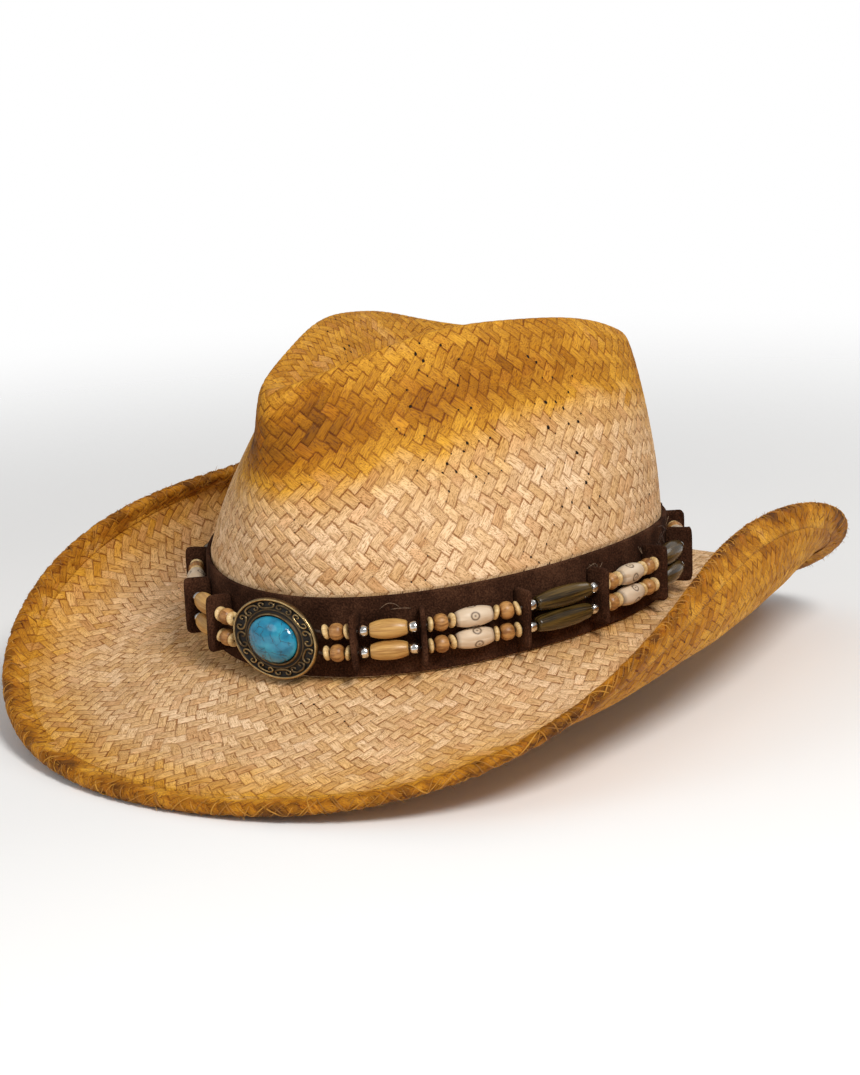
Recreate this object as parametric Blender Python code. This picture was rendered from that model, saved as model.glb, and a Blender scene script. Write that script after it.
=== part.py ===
"""Straw cowboy hat with a beaded suede hat band.

+Z is up and the front of the hat faces -Y. The origin is in the middle of the head opening, where the
brim meets the crown. Lengths are in metres. An angle round the hat is 0 at the front and grows towards
the wearer's left, +X. Each outline is a short sum of cosines of that angle, so both sides match.
"""

import math

import bmesh
import bpy
import numpy as np
from mathutils import Matrix, Vector

# Head opening, over the straw at the foot of the crown
HEAD_LENGTH = 0.2104
HEAD_WIDTH = 0.1752
HEAD_SADDLE = 0.0034  # the foot dips this far at the front and back, and rises as far at the sides

# Woven straw
STRAW = 0.0020
GAP = 0.0003  # left between pieces that touch

# Brim: width along the straw, and its slope in degrees at the foot and at the edge
BRIM_WIDTH = 0.0888
BRIM_FRONT_REACH = 0.0026  # wider by this at the front and narrower by it at the back
BRIM_FOOT_SLOPE = (-12, -11, 3.5)
BRIM_EDGE_SLOPE = (52, 2, -94, 24, 6)
BRIM_CURL = (2.1, 0.25, 0.1)  # how late the slope turns from one to the other

# Crown: a teardrop rim above an oval foot, with a dent in the top and a pinch each side of the front
RIM_HEIGHT = (0.1155, 0.0065, -0.0070, -0.0035)
RIM_LEAN = 0.0020  # the left of the rim stands this much higher, and the right this much lower
RIM_HALF_WIDTH = 0.0525
RIM_TAPER = 0.0110  # narrows the front of the rim to its point
RIM_LENGTH = 0.1930
RIM_FORWARD = 0.0150  # carries the point forward
RIM_BACKSET = 0.0050
WALL_BULGE = 0.0015
DENT_DEPTH = 0.0320
DENT_BACKSET = 0.0080
PINCH_DEPTH = 0.0070
PINCH_ANGLE = 38
PINCH_SPREAD = 22
# Wall sections: shares of the way up to the rim, of the bulge and of the pinch
CROWN_WALL = ((0.20, 1, 0), (0.45, 1, 0.3), (0.75, 1, 1.0), (0.97, 0, 0.4))
# Top sections: shares of the way out from the middle to the rim, and of the dent's drop
CROWN_TOP = ((0.93, 0.02), (0.72, 0.38), (0.45, 0.85), (0.20, 1.0), (0.0, 1.0))

# Rolled edge: a spring wire in a stitched straw binding
WIRE_DIAMETER = 0.0016
BINDING_WALL = 0.0012
BINDING_LAP = 0.0070

# Sweatband and suede band
SWEATBAND_HEIGHT = 0.0300
SWEATBAND_THICKNESS = 0.0011
BAND_HEIGHT = 0.0320
BAND_THICKNESS = 0.0018
BAND_FOOT = 0.0008  # its lower edge above the foot of the crown

# Bead strands
TRIM_TURN = 0.0040  # the concho sits this far round to the wearer's left
CORD_DIAMETER = 0.0012
STRAND_GAP = 0.0004  # between the fattest barrels of the two cords
TILE_REACH = 0.0072  # a tile or the keeper goes this far past each cord
TILE_DEPTH = 0.0110
TILE_THICKNESS = 0.0018
TILE_CORNER = 0.0026
CORNER_SHARE = 0.3  # how much of a cut corner its middle point lies inside
BORE_GAP = 0.0004  # round the cord, in a barrel or a tile
BEAD_GAP = 0.0003  # between beads
TILE_GAP = 0.0008  # from a tile to a flat bead, which leans a little towards it
BAND_CLEARANCE = 0.0005  # from the band to the fattest barrel
KEEPER_LENGTH = 0.0140
KEEPER_DEPTH = 0.0110

# Beads: length along the cord, and diameter
BEADS = {
    "silver": (0.0043, 0.0043),
    "disc": (0.0024, 0.0060),
    "round": (0.0058, 0.0070),
    "tan_barrel": (0.0148, 0.0078),
    "carved_barrel": (0.0150, 0.0080),
    "dark_barrel": (0.0266, 0.0082),
}
# Shares of the length and of the radius, from end to end
BARREL_RINGS = ((-0.5, 0.66), (-0.22, 0.95), (0.22, 0.95), (0.5, 0.66))
DISC_RINGS = ((0, 0.45), (0.5, 1.0), (1, 0.45))
BALL_RINGS = ((0, 0.40), (0.28, 0.96), (0.72, 0.96), (1, 0.40))
CONCHO_GROUP = ("disc", "round", "disc")
CARVED_GROUP = ("disc", "round", "disc", "carved_barrel", "disc", "round", "disc")
DARK_GROUP = ("silver", "dark_barrel", "silver")
GROUPS = (
    ("silver", "tan_barrel", "silver"),
    CARVED_GROUP,
    DARK_GROUP,
    CARVED_GROUP,
    DARK_GROUP,
    CARVED_GROUP,
    ("disc", "round", "disc", "round", "disc"),
)

# Concho
CONCHO_WIDTH = 0.0410
CONCHO_HEIGHT = 0.0325
CONCHO_PLATE = 0.0016
CONCHO_RIM = 0.0007  # height of the raised rim and of the cup round the stone
CONCHO_SPACE = 0.0039  # from the band to the middle of the cords at the concho's edge
CONCHO_CLEARANCE = 0.0006  # from its edge to where the beads start
STONE_WIDTH = 0.0230
STONE_HEIGHT = 0.0185
STONE_DOME = 0.0056
STONE_RINGS = ((1.0, 0.30), (0.82, 0.70), (0.42, 0.935))  # shares of its width and of its dome
BAR_THICKNESS = 0.0030
BAR_REACH = 0.0032  # the bar goes this far past each cord

# Facets
SECTIONS = 44
BRIM_ROWS = 7
CROWN_ROWS = 12
BARREL_SIDES = 8
CORD_SIDES = 5
CONCHO_SIDES = 24
SHARP_ANGLE = 35  # degrees, past which an edge isn't smoothed over
OVAL_SAMPLES = 7200
BARE_CORD_STEP = 0.02
SAME_LENGTH = 1e-5  # diagonals closer than this count as equal
SLOPE_SAMPLES = 60

UP = np.array([0.0, 0.0, 1.0])
AROUND = np.linspace(0, 2 * math.pi, SECTIONS, endpoint=False)


def clear_scene():
    for obj in list(bpy.data.objects):
        bpy.data.objects.remove(obj)


def material(name, colour, roughness, metallic=0.0):
    made = bpy.data.materials.new(name)
    made.use_nodes = True
    shader = made.node_tree.nodes["Principled BSDF"]
    shader.inputs["Base Color"].default_value = (*colour, 1)
    shader.inputs["Roughness"].default_value = roughness
    shader.inputs["Metallic"].default_value = metallic
    return made


def waves(angle, terms):
    """terms[0] + terms[1] cos(angle) + terms[2] cos(2 angle) and so on."""
    return sum(term * np.cos(order * angle) for order, term in enumerate(terms))


def oval(angle, growth=0.0):
    """(point, outward direction) on the foot of the crown, `growth` outside the straw."""
    angle = np.asarray(angle, dtype=float)
    width, length = HEAD_WIDTH / 2, HEAD_LENGTH / 2
    outward = np.stack([np.sin(angle) / width, -np.cos(angle) / length, 0 * angle], -1)
    outward /= np.linalg.norm(outward, axis=-1, keepdims=True)
    height = -HEAD_SADDLE * np.cos(2 * angle)
    point = np.stack([width * np.sin(angle), -length * np.cos(angle), height], -1)
    return point + outward * growth, outward


def brim(angle, short):
    """(point, slope) on top of the brim, `short` metres inside its edge, where short is one value or
    one for each angle. The slope turns from the foot's to the edge's as a power of the share of the
    width, and the point is the slope's sum along the section."""
    width = waves(angle, (BRIM_WIDTH, BRIM_FRONT_REACH))
    reach = width - short
    first, last, power = (
        waves(angle, terms) for terms in (BRIM_FOOT_SLOPE, BRIM_EDGE_SLOPE, BRIM_CURL)
    )
    steps = (np.arange(SLOPE_SAMPLES) + 0.5)[:, None] / SLOPE_SAMPLES
    slope = np.radians(first + (last - first) * (steps * reach / width) ** power)
    foot, outward = oval(angle)
    run = (np.cos(slope).mean(axis=0) * reach)[:, None]
    rise = (np.sin(slope).mean(axis=0) * reach)[:, None]
    return foot + outward * run + UP * rise, np.radians(first + (last - first) * (reach / width) ** power)


def smooth_curve(points, count):
    """`count` places along the uniform cubic B-spline of `points`, held at its first and last."""
    held = np.concatenate([points[:1], points[:1], points, points[-1:], points[-1:]])
    place = np.linspace(0, len(held) - 3, count)
    first = np.minimum(place.astype(int), len(held) - 4)
    t = (place - first).reshape(-1, *[1] * (points.ndim - 1))
    weights = (
        (1 - t) ** 3 / 6,
        (3 * t**3 - 6 * t**2 + 4) / 6,
        (-3 * t**3 + 3 * t**2 + 3 * t + 1) / 6,
        t**3 / 6,
    )
    return sum(weight * held[first + index] for index, weight in enumerate(weights))


def crown(angle, rows):
    """Outer surface of the crown in `rows` rows from above the band to the middle of the top. A section
    rises straight past the band, leans in to the rim, turns over it and falls into the dent."""
    foot, outward = oval(angle)
    knee = foot + UP * (BAND_HEIGHT + 2 * BAND_FOOT)
    height = waves(angle, RIM_HEIGHT) + RIM_LEAN * np.sin(angle)
    rim = np.stack(
        [
            RIM_HALF_WIDTH * np.sin(angle) - RIM_TAPER * np.sin(2 * angle),
            RIM_BACKSET - RIM_LENGTH / 2 * np.cos(angle) - RIM_FORWARD * np.cos(2 * angle),
            height,
        ],
        -1,
    )
    rim_height = height[:, None]
    side = np.abs((angle + math.pi) % (2 * math.pi) - math.pi)
    away = (side - math.radians(PINCH_ANGLE)) / math.radians(PINCH_SPREAD)
    pinch = outward * (PINCH_DEPTH * np.exp(-(away**2)))[:, None]
    middle = np.array([0, DENT_BACKSET, 0])
    floor = RIM_HEIGHT[0] - DENT_DEPTH

    def wall(share, bulge, pinched):
        return knee + (rim - knee) * share + outward * WALL_BULGE * bulge - pinch * pinched

    def top(share, drop):
        flat = middle + (rim - middle) * share
        return flat * (1, 1, 0) + UP * (rim_height + (floor - rim_height) * drop)

    control = [knee, *(wall(*shares) for shares in CROWN_WALL), *(top(*shares) for shares in CROWN_TOP)]
    return smooth_curve(np.array(control), rows)


def split_face(mesh, *corners):
    """Two triangles that meet on the shorter diagonal, so that twisted neighbours keep their gap."""
    a, b, c, d = corners
    if (a.co - c.co).length > (b.co - d.co).length * (1 + SAME_LENGTH):
        a, b, c, d = b, c, d, a
    mesh.faces.new((a, b, c))
    mesh.faces.new((a, c, d))


def skin(name, grid, finish, ends="open"):
    """A mesh over grid[row, column], whose columns close into a ring. ends is open, capped, where a
    flat face closes the first and last row, ring, where the last row joins the first, or peaks, where
    the first and last rows are each one point."""
    mesh = bmesh.new()
    rows = grid[1:-1] if ends == "peaks" else grid
    points = [[mesh.verts.new(place) for place in row] for row in rows]
    columns = len(points[0])
    pairs = list(zip(points, points[1:]))
    if ends == "ring":
        pairs.append((points[-1], points[0]))
    for low, high in pairs:
        for c in range(columns):
            d = (c + 1) % columns
            split_face(mesh, low[c], low[d], high[d], high[c])
    if ends == "peaks":
        for row, peak in ((points[0], grid[0]), (points[-1], grid[-1])):
            tip = mesh.verts.new(peak.mean(axis=0))
            for c in range(columns):
                mesh.faces.new((row[c], row[(c + 1) % columns], tip))
    if ends == "capped":
        mesh.faces.new(points[0])
        mesh.faces.new(points[-1])
    if ends != "open":
        bmesh.ops.recalc_face_normals(mesh, faces=mesh.faces)
    data = bpy.data.meshes.new(name)
    mesh.to_mesh(data)
    mesh.free()
    data.shade_smooth()
    data.set_sharp_from_angle(angle=math.radians(SHARP_ANGLE))
    data.materials.append(finish)
    obj = bpy.data.objects.new(name, data)
    bpy.context.scene.collection.objects.link(obj)
    return obj


def thicken(obj, thickness, inwards):
    solid = obj.modifiers.new("Thickness", "SOLIDIFY")
    solid.thickness = thickness
    solid.offset = -1 if inwards else 1


def square_to(slope):
    """The direction square to the brim, given its slope round the hat."""
    outward = oval(AROUND)[1]
    return UP * np.cos(slope)[:, None] - outward * np.sin(slope)[:, None]


def surface_normals(grid):
    """Outward normals of a grid whose rows rise and whose columns run round the hat."""
    across = np.roll(grid, -1, axis=1) - np.roll(grid, 1, axis=1)
    normals = np.cross(across, np.gradient(grid, axis=0))
    size = np.linalg.norm(normals, axis=-1, keepdims=True)
    return np.where(size > 0, normals / np.maximum(size, 1e-12), UP)


def straw_body(finish):
    """Crown and brim, woven in one piece: a row at a time from the brim's edge to the top's middle."""
    widths = waves(AROUND, (BRIM_WIDTH, BRIM_FRONT_REACH))
    edge = edge_depth()
    lap = edge + BINDING_LAP
    shorts = [edge, edge + BINDING_LAP / 2]
    shorts += [lap + (widths - lap) * share for share in np.linspace(0, 1, BRIM_ROWS, endpoint=False)]
    brim_rows = [brim(AROUND, short) for short in shorts]
    foot, outward = oval(AROUND)
    upper = crown(AROUND, CROWN_ROWS)
    outer = np.array([point for point, _ in brim_rows] + [foot, *upper])
    facing = np.array([square_to(slope) for _, slope in brim_rows] + [outward, *surface_normals(upper)])
    inner = outer - facing * STRAW
    skin("straw_body", np.concatenate([inner[::-1], outer]), finish, ends="peaks")


def edge_depth():
    """How far the binding reaches past the straw's edge, with the wire between them."""
    return 2 * GAP + WIRE_DIAMETER + BINDING_WALL


def edge_ring(profile):
    """profile is (inset, out, up): from `inset` inside the straw's edge, out along the brim and up
    square to it."""
    rows = []
    for inset, out, up in profile:
        point, slope = brim(AROUND, edge_depth() + inset)
        along = oval(AROUND)[1] * np.cos(slope)[:, None] + UP * np.sin(slope)[:, None]
        rows.append(point + along * out + square_to(slope) * up)
    return np.array(rows)


def brim_wire(finish):
    radius = WIRE_DIAMETER / 2
    turns = np.linspace(0, 2 * math.pi, CORD_SIDES, endpoint=False)
    profile = [
        (0, GAP + radius + radius * math.cos(turn), -STRAW / 2 + radius * math.sin(turn)) for turn in turns
    ]
    skin("brim_wire", edge_ring(profile), finish, ends="ring")


def edge_binding(finish):
    """A straw braid folded over the edge: a U that opens inwards and holds the wire in its fold."""
    top, base = GAP, -STRAW - GAP
    fold = 2 * GAP + WIRE_DIAMETER
    insets = (BINDING_LAP, BINDING_LAP / 2, 0)
    profile = [(inset, 0, top + BINDING_WALL) for inset in insets]
    profile += [
        (0, fold, top + BINDING_WALL),
        (0, fold + BINDING_WALL, -STRAW / 4),
        (0, fold + BINDING_WALL, -STRAW * 3 / 4),
        (0, fold, base - BINDING_WALL),
    ]
    profile += [(inset, 0, base - BINDING_WALL) for inset in reversed(insets)]
    profile += [(inset, 0, base) for inset in insets]
    profile += [(0, fold, base), (0, fold, top)]
    profile += [(inset, 0, top) for inset in reversed(insets)]
    skin("edge_binding", edge_ring(profile), finish, ends="ring")


def sweatband(finish):
    point, _ = oval(AROUND, -STRAW - GAP)
    rows = np.array([point + UP * BAND_FOOT, point + UP * (BAND_FOOT + SWEATBAND_HEIGHT)])
    thicken(skin("sweatband", rows, finish), SWEATBAND_THICKNESS, inwards=True)


def suede_band(finish):
    point, _ = oval(AROUND, GAP)
    rows = np.array([point + UP * BAND_FOOT, point + UP * (BAND_FOOT + BAND_HEIGHT)])
    thicken(skin("suede_band", rows, finish), BAND_THICKNESS, inwards=False)


def barrel_radius():
    return max(diameter for _, diameter in BEADS.values()) / 2


def strand_spacing():
    """Between the two cords, so that the fattest barrels on them don't rub."""
    return 2 * barrel_radius() + STRAND_GAP


def tile_height():
    return strand_spacing() + 2 * TILE_REACH


def oval_line(standoff):
    """Points round the hat at the strands' mid height, their outward directions, and how far each lies
    along the line from the concho's middle."""
    angle = np.linspace(-math.pi, math.pi, OVAL_SAMPLES + 1)
    point, outward = oval(angle, GAP + BAND_THICKNESS + standoff)
    point = point + UP * (BAND_FOOT + BAND_HEIGHT / 2)
    step = np.linalg.norm(np.diff(point, axis=0), axis=1)
    length = np.concatenate([[0], np.cumsum(step)])
    whole = length[-1]
    length = (length - np.interp(0, angle, length) - TRIM_TURN + whole / 2) % whole - whole / 2
    order = np.argsort(length[:-1])
    return point[order], outward[order], length[order]


def end_gap(group):
    return TILE_GAP if group[0] == "disc" else BEAD_GAP


def group_length(group):
    """Length of a group's beads, with the gaps between them and to what lies at both its ends."""
    beads = sum(BEADS[bead][0] for bead in group)
    return beads + BEAD_GAP * (len(group) - 1) + 2 * end_gap(group)


def stops(side, standoff):
    """Where the cords bend on one side, as (point, outward): the concho's edge, and each tile."""
    point, outward, length = oval_line(standoff)
    if side < 0:
        point, outward, length = point[::-1], outward[::-1], -length[::-1]
    place = int(np.searchsorted(length, CONCHO_WIDTH / 2 + CONCHO_CLEARANCE))
    found = [place]
    for group in (CONCHO_GROUP, *GROUPS):
        ends = TILE_THICKNESS / 2 if group is CONCHO_GROUP else TILE_THICKNESS
        away = np.linalg.norm(point[place:] - point[place], axis=1)
        place += int(np.argmax(away >= group_length(group) + ends))
        found.append(place)
    return [(point[index], outward[index]) for index in found]


def strand_standoff():
    """From the band to the cords' bends, so that the middle of each straight run clears the band."""
    bends = stops(1, barrel_radius())
    sag = 0.0
    for (start, first), (end, last) in zip(bends, bends[1:]):
        turn = math.acos(min(1.0, float(first @ last)))
        sag = max(sag, math.dist(start, end) / 2 * math.tan(turn / 4))
    return barrel_radius() + BAND_CLEARANCE + sag


def placed(obj, point, along, outward):
    """Puts a piece's origin on `point`, its Z along the cord and its X out from the hat."""
    third = np.cross(along, outward)
    axes = Matrix([Vector(outward), Vector(third), Vector(along)]).transposed()
    obj.matrix_world = Matrix.Translation(Vector(point)) @ axes.to_4x4()


def punched(name, depth, height, thickness, inner, corner, finish):
    """A flat piece across both cords with a hole for each: its X runs from -inner to depth - inner."""
    low, high = -inner, depth - inner
    half = height / 2
    curve = bpy.data.curves.new(name, "CURVE")
    curve.dimensions = "2D"
    curve.fill_mode = "BOTH"
    curve.extrude = thickness / 2
    outline = [(low, -half), (high - corner, -half)]
    outline += [(high - corner * CORNER_SHARE, -half + corner * CORNER_SHARE), (high, -half + corner)]
    outline += [(x, -y) for x, y in reversed(outline)]
    bore = CORD_DIAMETER / 2 + BORE_GAP
    turns = np.linspace(0, 2 * math.pi, BARREL_SIDES, endpoint=False)
    holes = [
        [(bore * math.cos(turn), centre + bore * math.sin(turn)) for turn in turns]
        for centre in (-strand_spacing() / 2, strand_spacing() / 2)
    ]
    for loop in (outline, *holes):
        spline = curve.splines.new("POLY")
        spline.points.add(len(loop) - 1)
        for knot, (x, y) in zip(spline.points, loop):
            knot.co = (x, y, 0, 1)
        spline.use_cyclic_u = True
    curve.materials.append(finish)
    obj = bpy.data.objects.new(name, curve)
    bpy.context.scene.collection.objects.link(obj)
    return obj


def horizontal(outward):
    """The direction round the hat towards the wearer's left at the front, square to outward."""
    return np.cross(UP, outward)


def tiles(standoff, finish):
    """Suede spacers, edge on to the cords, their inner edges against the band."""
    for side, label in ((1, "left"), (-1, "right")):
        for number, (point, outward) in enumerate(stops(side, standoff)[1:], 1):
            tile = punched(
                f"suede_tile_{label}_{number}",
                TILE_DEPTH,
                tile_height(),
                TILE_THICKNESS,
                standoff - GAP,
                TILE_CORNER,
                finish,
            )
            placed(tile, point, horizontal(outward), outward)


def back_of_line(standoff):
    point, outward, _ = oval_line(standoff)
    return point[0], outward[0]


def back_keeper(standoff, finish):
    """A suede block behind the head that holds both cords' ends."""
    inner = standoff - keeper_gap()
    keeper = punched(
        "back_keeper", KEEPER_DEPTH, tile_height(), KEEPER_LENGTH, inner, TILE_CORNER, finish
    )
    point, outward = back_of_line(standoff)
    placed(keeper, point, horizontal(outward), outward)


def keeper_gap():
    """Clears the band, which bends away less than the keeper's flat inner face does."""
    bend = HEAD_WIDTH**2 / HEAD_LENGTH / 2
    return GAP + KEEPER_LENGTH**2 / 8 / bend


def barrel_profile(kind):
    """(along, radius) rings down the outside and back through the bore."""
    length, diameter = BEADS[kind]
    radius = diameter / 2
    bore = CORD_DIAMETER / 2 + BORE_GAP
    return [(length * share, radius * part) for share, part in BARREL_RINGS] + [
        (length / 2, bore),
        (-length / 2, bore),
    ]


def barrel(name, kind, finish):
    turns = np.linspace(0, 2 * math.pi, BARREL_SIDES, endpoint=False)
    circle = np.stack([np.cos(turns), np.sin(turns), 0 * turns], -1)
    grid = np.array([circle * radius + UP * along for along, radius in barrel_profile(kind)])
    return skin(name, grid, finish, ends="ring")


def small_bead_rings(kind, start):
    """(distance, radius) rings of a bead whose near end is at `start`; its ends meet the cord."""
    length, diameter = BEADS[kind]
    shares = DISC_RINGS if kind == "disc" else BALL_RINGS
    return [(start + length * share, diameter / 2 * part) for share, part in shares]


def strand_half(side, level, label, standoff, finishes):
    """One cord from the concho's edge to the back, as (point, along, radius) rings with the small
    beads on it. The barrels on it are pieces of their own."""
    lift = UP * level * strand_spacing() / 2
    bends = [point + lift for point, _ in stops(side, standoff)]
    cord = CORD_DIAMETER / 2
    rings = []
    number = 0
    for index, group in enumerate((CONCHO_GROUP, *GROUPS)):
        start, end = bends[index], bends[index + 1]
        along = (end - start) / np.linalg.norm(end - start)
        if index:
            bend = along + rings[-1][1]
            rings.append((start, bend / np.linalg.norm(bend), cord))
        else:
            rings.append((start, along, cord))
        distance = (TILE_THICKNESS / 2 if index else 0) + end_gap(group)
        rings.append((start + along * (distance - end_gap(group) / 2), along, cord))
        for bead in group:
            length = BEADS[bead][0]
            if "barrel" in bead:
                number += 1
                middle = start + along * (distance + length / 2)
                height = "upper" if level > 0 else "lower"
                name = f"{bead}_{height}_{label}_{number}"
                outward = np.cross(along, UP) * side
                outward /= np.linalg.norm(outward)
                placed(barrel(name, bead, finishes[bead]), middle, along, outward)
                rings += [(start + along * (distance + length * share), along, cord) for share in (0, 1)]
            else:
                rings += [
                    (start + along * reach, along, radius)
                    for reach, radius in small_bead_rings(bead, distance)
                ]
            distance += length + BEAD_GAP
        rings.append((start + along * (distance - BEAD_GAP + end_gap(group) / 2), along, cord))
    return rings + bare_cord(side, lift, standoff, rings[-1][1], bends[-1])


def bare_cord(side, lift, standoff, along, last):
    """Rings of the bare cord from the last tile round to the middle of the keeper at the back."""
    point, outward, length = oval_line(standoff)
    travel = np.cross(UP, outward) * side
    keeper = length[-1] - KEEPER_LENGTH / 2
    start = side * length[np.linalg.norm(point + lift - last, axis=1).argmin()]
    count = max(2, math.ceil((keeper - start) / BARE_CORD_STEP)) + 1
    places = side * np.linspace(start, keeper - BEAD_GAP * 2, count)
    chosen = [int(np.abs(length - place).argmin()) for place in places]
    middle, facing = back_of_line(standoff)
    inside = np.cross(UP, facing) * side
    rings = [(point[index] + lift, travel[index], CORD_DIAMETER / 2) for index in chosen[:-1]]
    for reach in (KEEPER_LENGTH / 2 + BEAD_GAP * 2, CORD_DIAMETER / 2):
        rings.append((middle + lift - inside * reach, inside, CORD_DIAMETER / 2))
    return rings


def strand(level, standoff, finishes):
    """A waxed cord round the hat through the concho's bar, with all its small beads."""
    halves = {}
    for side, label in ((1, "left"), (-1, "right")):
        halves[side] = strand_half(side, level, label, standoff, finishes)
    lift = UP * level * strand_spacing() / 2
    point, outward, length = oval_line(bar_standoff())
    front = int(np.abs(length).argmin())
    centre = [(point[front] + lift, np.cross(UP, outward[front]), CORD_DIAMETER / 2)]
    back = [(where, -along, radius) for where, along, radius in reversed(halves[-1])]
    turns = np.linspace(0, 2 * math.pi, CORD_SIDES, endpoint=False)
    grid = []
    for where, along, radius in back + centre + halves[1]:
        across = np.cross(along, UP)
        across /= np.linalg.norm(across)
        rise = np.cross(across, along)
        grid.append([where + radius * (across * math.cos(turn) + rise * math.sin(turn)) for turn in turns])
    name = "upper_strand" if level > 0 else "lower_strand"
    skin(name, np.array(grid), finishes["cord"], ends="capped")


def concho_standoff():
    """From the band to the back of the plate, which clears the cords where they come out behind its edge."""
    return CONCHO_SPACE + CORD_DIAMETER / 2 + GAP


def bar_standoff():
    """From the band to the cords behind the concho."""
    return (concho_standoff() - GAP) / 2 + CORD_DIAMETER / 2


def concho_frame(standoff):
    point, outward, length = oval_line(standoff)
    front = int(np.abs(length).argmin())
    return point[front], outward[front]


def concho_bar(finish):
    """The bar behind the concho that both cords pass through."""
    standoff = bar_standoff()
    height = strand_spacing() + 2 * BAR_REACH
    depth = concho_standoff() - 2 * GAP
    bar = punched("concho_bar", depth, height, BAR_THICKNESS, standoff - GAP, GAP, finish)
    point, outward = concho_frame(standoff)
    placed(bar, point, horizontal(outward), outward)


def oval_rings(rings):
    """Rings of (width, height, rise) in the plane square to X, with the rise along X."""
    turns = np.linspace(0, 2 * math.pi, CONCHO_SIDES, endpoint=False)
    return np.array(
        [
            np.stack([rise + 0 * turns, width / 2 * np.cos(turns), height / 2 * np.sin(turns)], -1)
            for width, height, rise in rings
        ]
    )


def placed_on_concho(obj):
    point, outward = concho_frame(concho_standoff())
    axes = Matrix([Vector(outward), Vector(horizontal(outward)), Vector(UP)]).transposed()
    obj.matrix_world = Matrix.Translation(Vector(point)) @ axes.to_4x4()


def concho_plate(finish):
    """An oval plate with a raised rim, and a raised cup whose floor holds the stone."""
    width, height, face = CONCHO_WIDTH, CONCHO_HEIGHT, CONCHO_PLATE
    cup_width, cup_height = STONE_WIDTH + 2 * GAP, STONE_HEIGHT + 2 * GAP
    rim = 2 * CONCHO_RIM
    rings = [
        (width, height, 0),
        (width, height, face + CONCHO_RIM),
        (width - rim, height - rim, face + CONCHO_RIM),
        (width - 2 * rim, height - 2 * rim, face),
        (cup_width + 2 * rim, cup_height + 2 * rim, face),
        (cup_width + rim, cup_height + rim, face + 2 * CONCHO_RIM),
        (cup_width, cup_height, face + 2 * CONCHO_RIM),
        (cup_width, cup_height, face),
    ]
    placed_on_concho(skin("concho_plate", oval_rings(rings), finish, ends="capped"))


def turquoise_cabochon(finish):
    """A domed oval stone on the floor of the cup."""
    base = CONCHO_PLATE + GAP
    rings = [(STONE_WIDTH, STONE_HEIGHT, base)]
    for across, rise in STONE_RINGS:
        rings.append((STONE_WIDTH * across, STONE_HEIGHT * across, base + STONE_DOME * rise))
    placed_on_concho(skin("turquoise_cabochon", oval_rings(rings), finish, ends="capped"))


def main():
    clear_scene()
    straw = material("straw", (0.72, 0.50, 0.25), 0.6)
    suede = material("suede", (0.060, 0.026, 0.016), 0.95)
    bronze = material("antique_bronze", (0.16, 0.11, 0.06), 0.45, 1.0)
    finishes = {
        "cord": material("waxed_cord", (0.05, 0.03, 0.02), 0.7),
        "tan_barrel": material("tan_wood", (0.62, 0.36, 0.13), 0.4),
        "carved_barrel": material("carved_bone", (0.75, 0.60, 0.47), 0.5),
        "dark_barrel": material("dark_horn", (0.10, 0.07, 0.03), 0.25),
    }
    straw_body(straw)
    brim_wire(material("spring_wire", (0.5, 0.5, 0.5), 0.35, 1.0))
    edge_binding(material("straw_braid", (0.45, 0.25, 0.08), 0.65))
    sweatband(material("sweatband_cloth", (0.03, 0.02, 0.02), 0.9))
    suede_band(suede)
    standoff = strand_standoff()
    tiles(standoff, suede)
    back_keeper(standoff, suede)
    for level in (1, -1):
        strand(level, standoff, finishes)
    concho_bar(bronze)
    concho_plate(bronze)
    turquoise_cabochon(material("turquoise", (0.02, 0.35, 0.48), 0.25))


main()
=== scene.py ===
"""Finishes of a straw cowboy hat with a beaded suede hat band.

+Z is up and the front of the hat faces -Y. Lengths are in metres. An angle round the hat is 0 at the front
and grows towards the wearer's left, +X. Outlines repeat those of the solid model.
"""

import math

import bpy
import numpy as np
from bpy.props import FloatProperty, FloatVectorProperty, IntProperty, PointerProperty
from mathutils import Matrix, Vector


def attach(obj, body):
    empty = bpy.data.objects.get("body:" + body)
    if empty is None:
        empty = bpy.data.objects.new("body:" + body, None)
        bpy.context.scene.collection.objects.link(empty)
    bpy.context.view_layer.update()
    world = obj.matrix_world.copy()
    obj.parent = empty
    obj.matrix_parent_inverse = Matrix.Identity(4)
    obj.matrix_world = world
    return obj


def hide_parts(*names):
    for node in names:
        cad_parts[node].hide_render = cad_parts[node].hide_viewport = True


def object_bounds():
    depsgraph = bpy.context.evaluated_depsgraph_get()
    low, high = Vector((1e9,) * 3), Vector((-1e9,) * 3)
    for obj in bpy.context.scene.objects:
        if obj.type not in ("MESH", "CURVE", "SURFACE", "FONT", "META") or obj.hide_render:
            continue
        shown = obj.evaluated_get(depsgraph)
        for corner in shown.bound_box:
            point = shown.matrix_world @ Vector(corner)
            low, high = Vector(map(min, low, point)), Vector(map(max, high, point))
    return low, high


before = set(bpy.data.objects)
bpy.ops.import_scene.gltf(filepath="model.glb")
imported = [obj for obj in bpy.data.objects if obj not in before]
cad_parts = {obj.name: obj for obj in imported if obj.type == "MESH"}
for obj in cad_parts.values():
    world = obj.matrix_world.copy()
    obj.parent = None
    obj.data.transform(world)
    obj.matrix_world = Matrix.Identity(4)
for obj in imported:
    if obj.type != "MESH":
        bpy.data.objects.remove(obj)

bl_info = {
    "name": "Straw cowboy hat",
    "version": (1, 0, 0),
    "blender": (4, 5, 0),
    "location": "3D View > Sidebar > Hat",
    "description": "Plaited straw, suede band, beads and concho of a cowboy hat",
    "category": "Object",
}

SOLID_BOX = [list(map(float, corner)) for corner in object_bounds()]
RECORD_BODY = "hat"
UP = np.array([0.0, 0.0, 1.0])
TAU = 2 * math.pi

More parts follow.
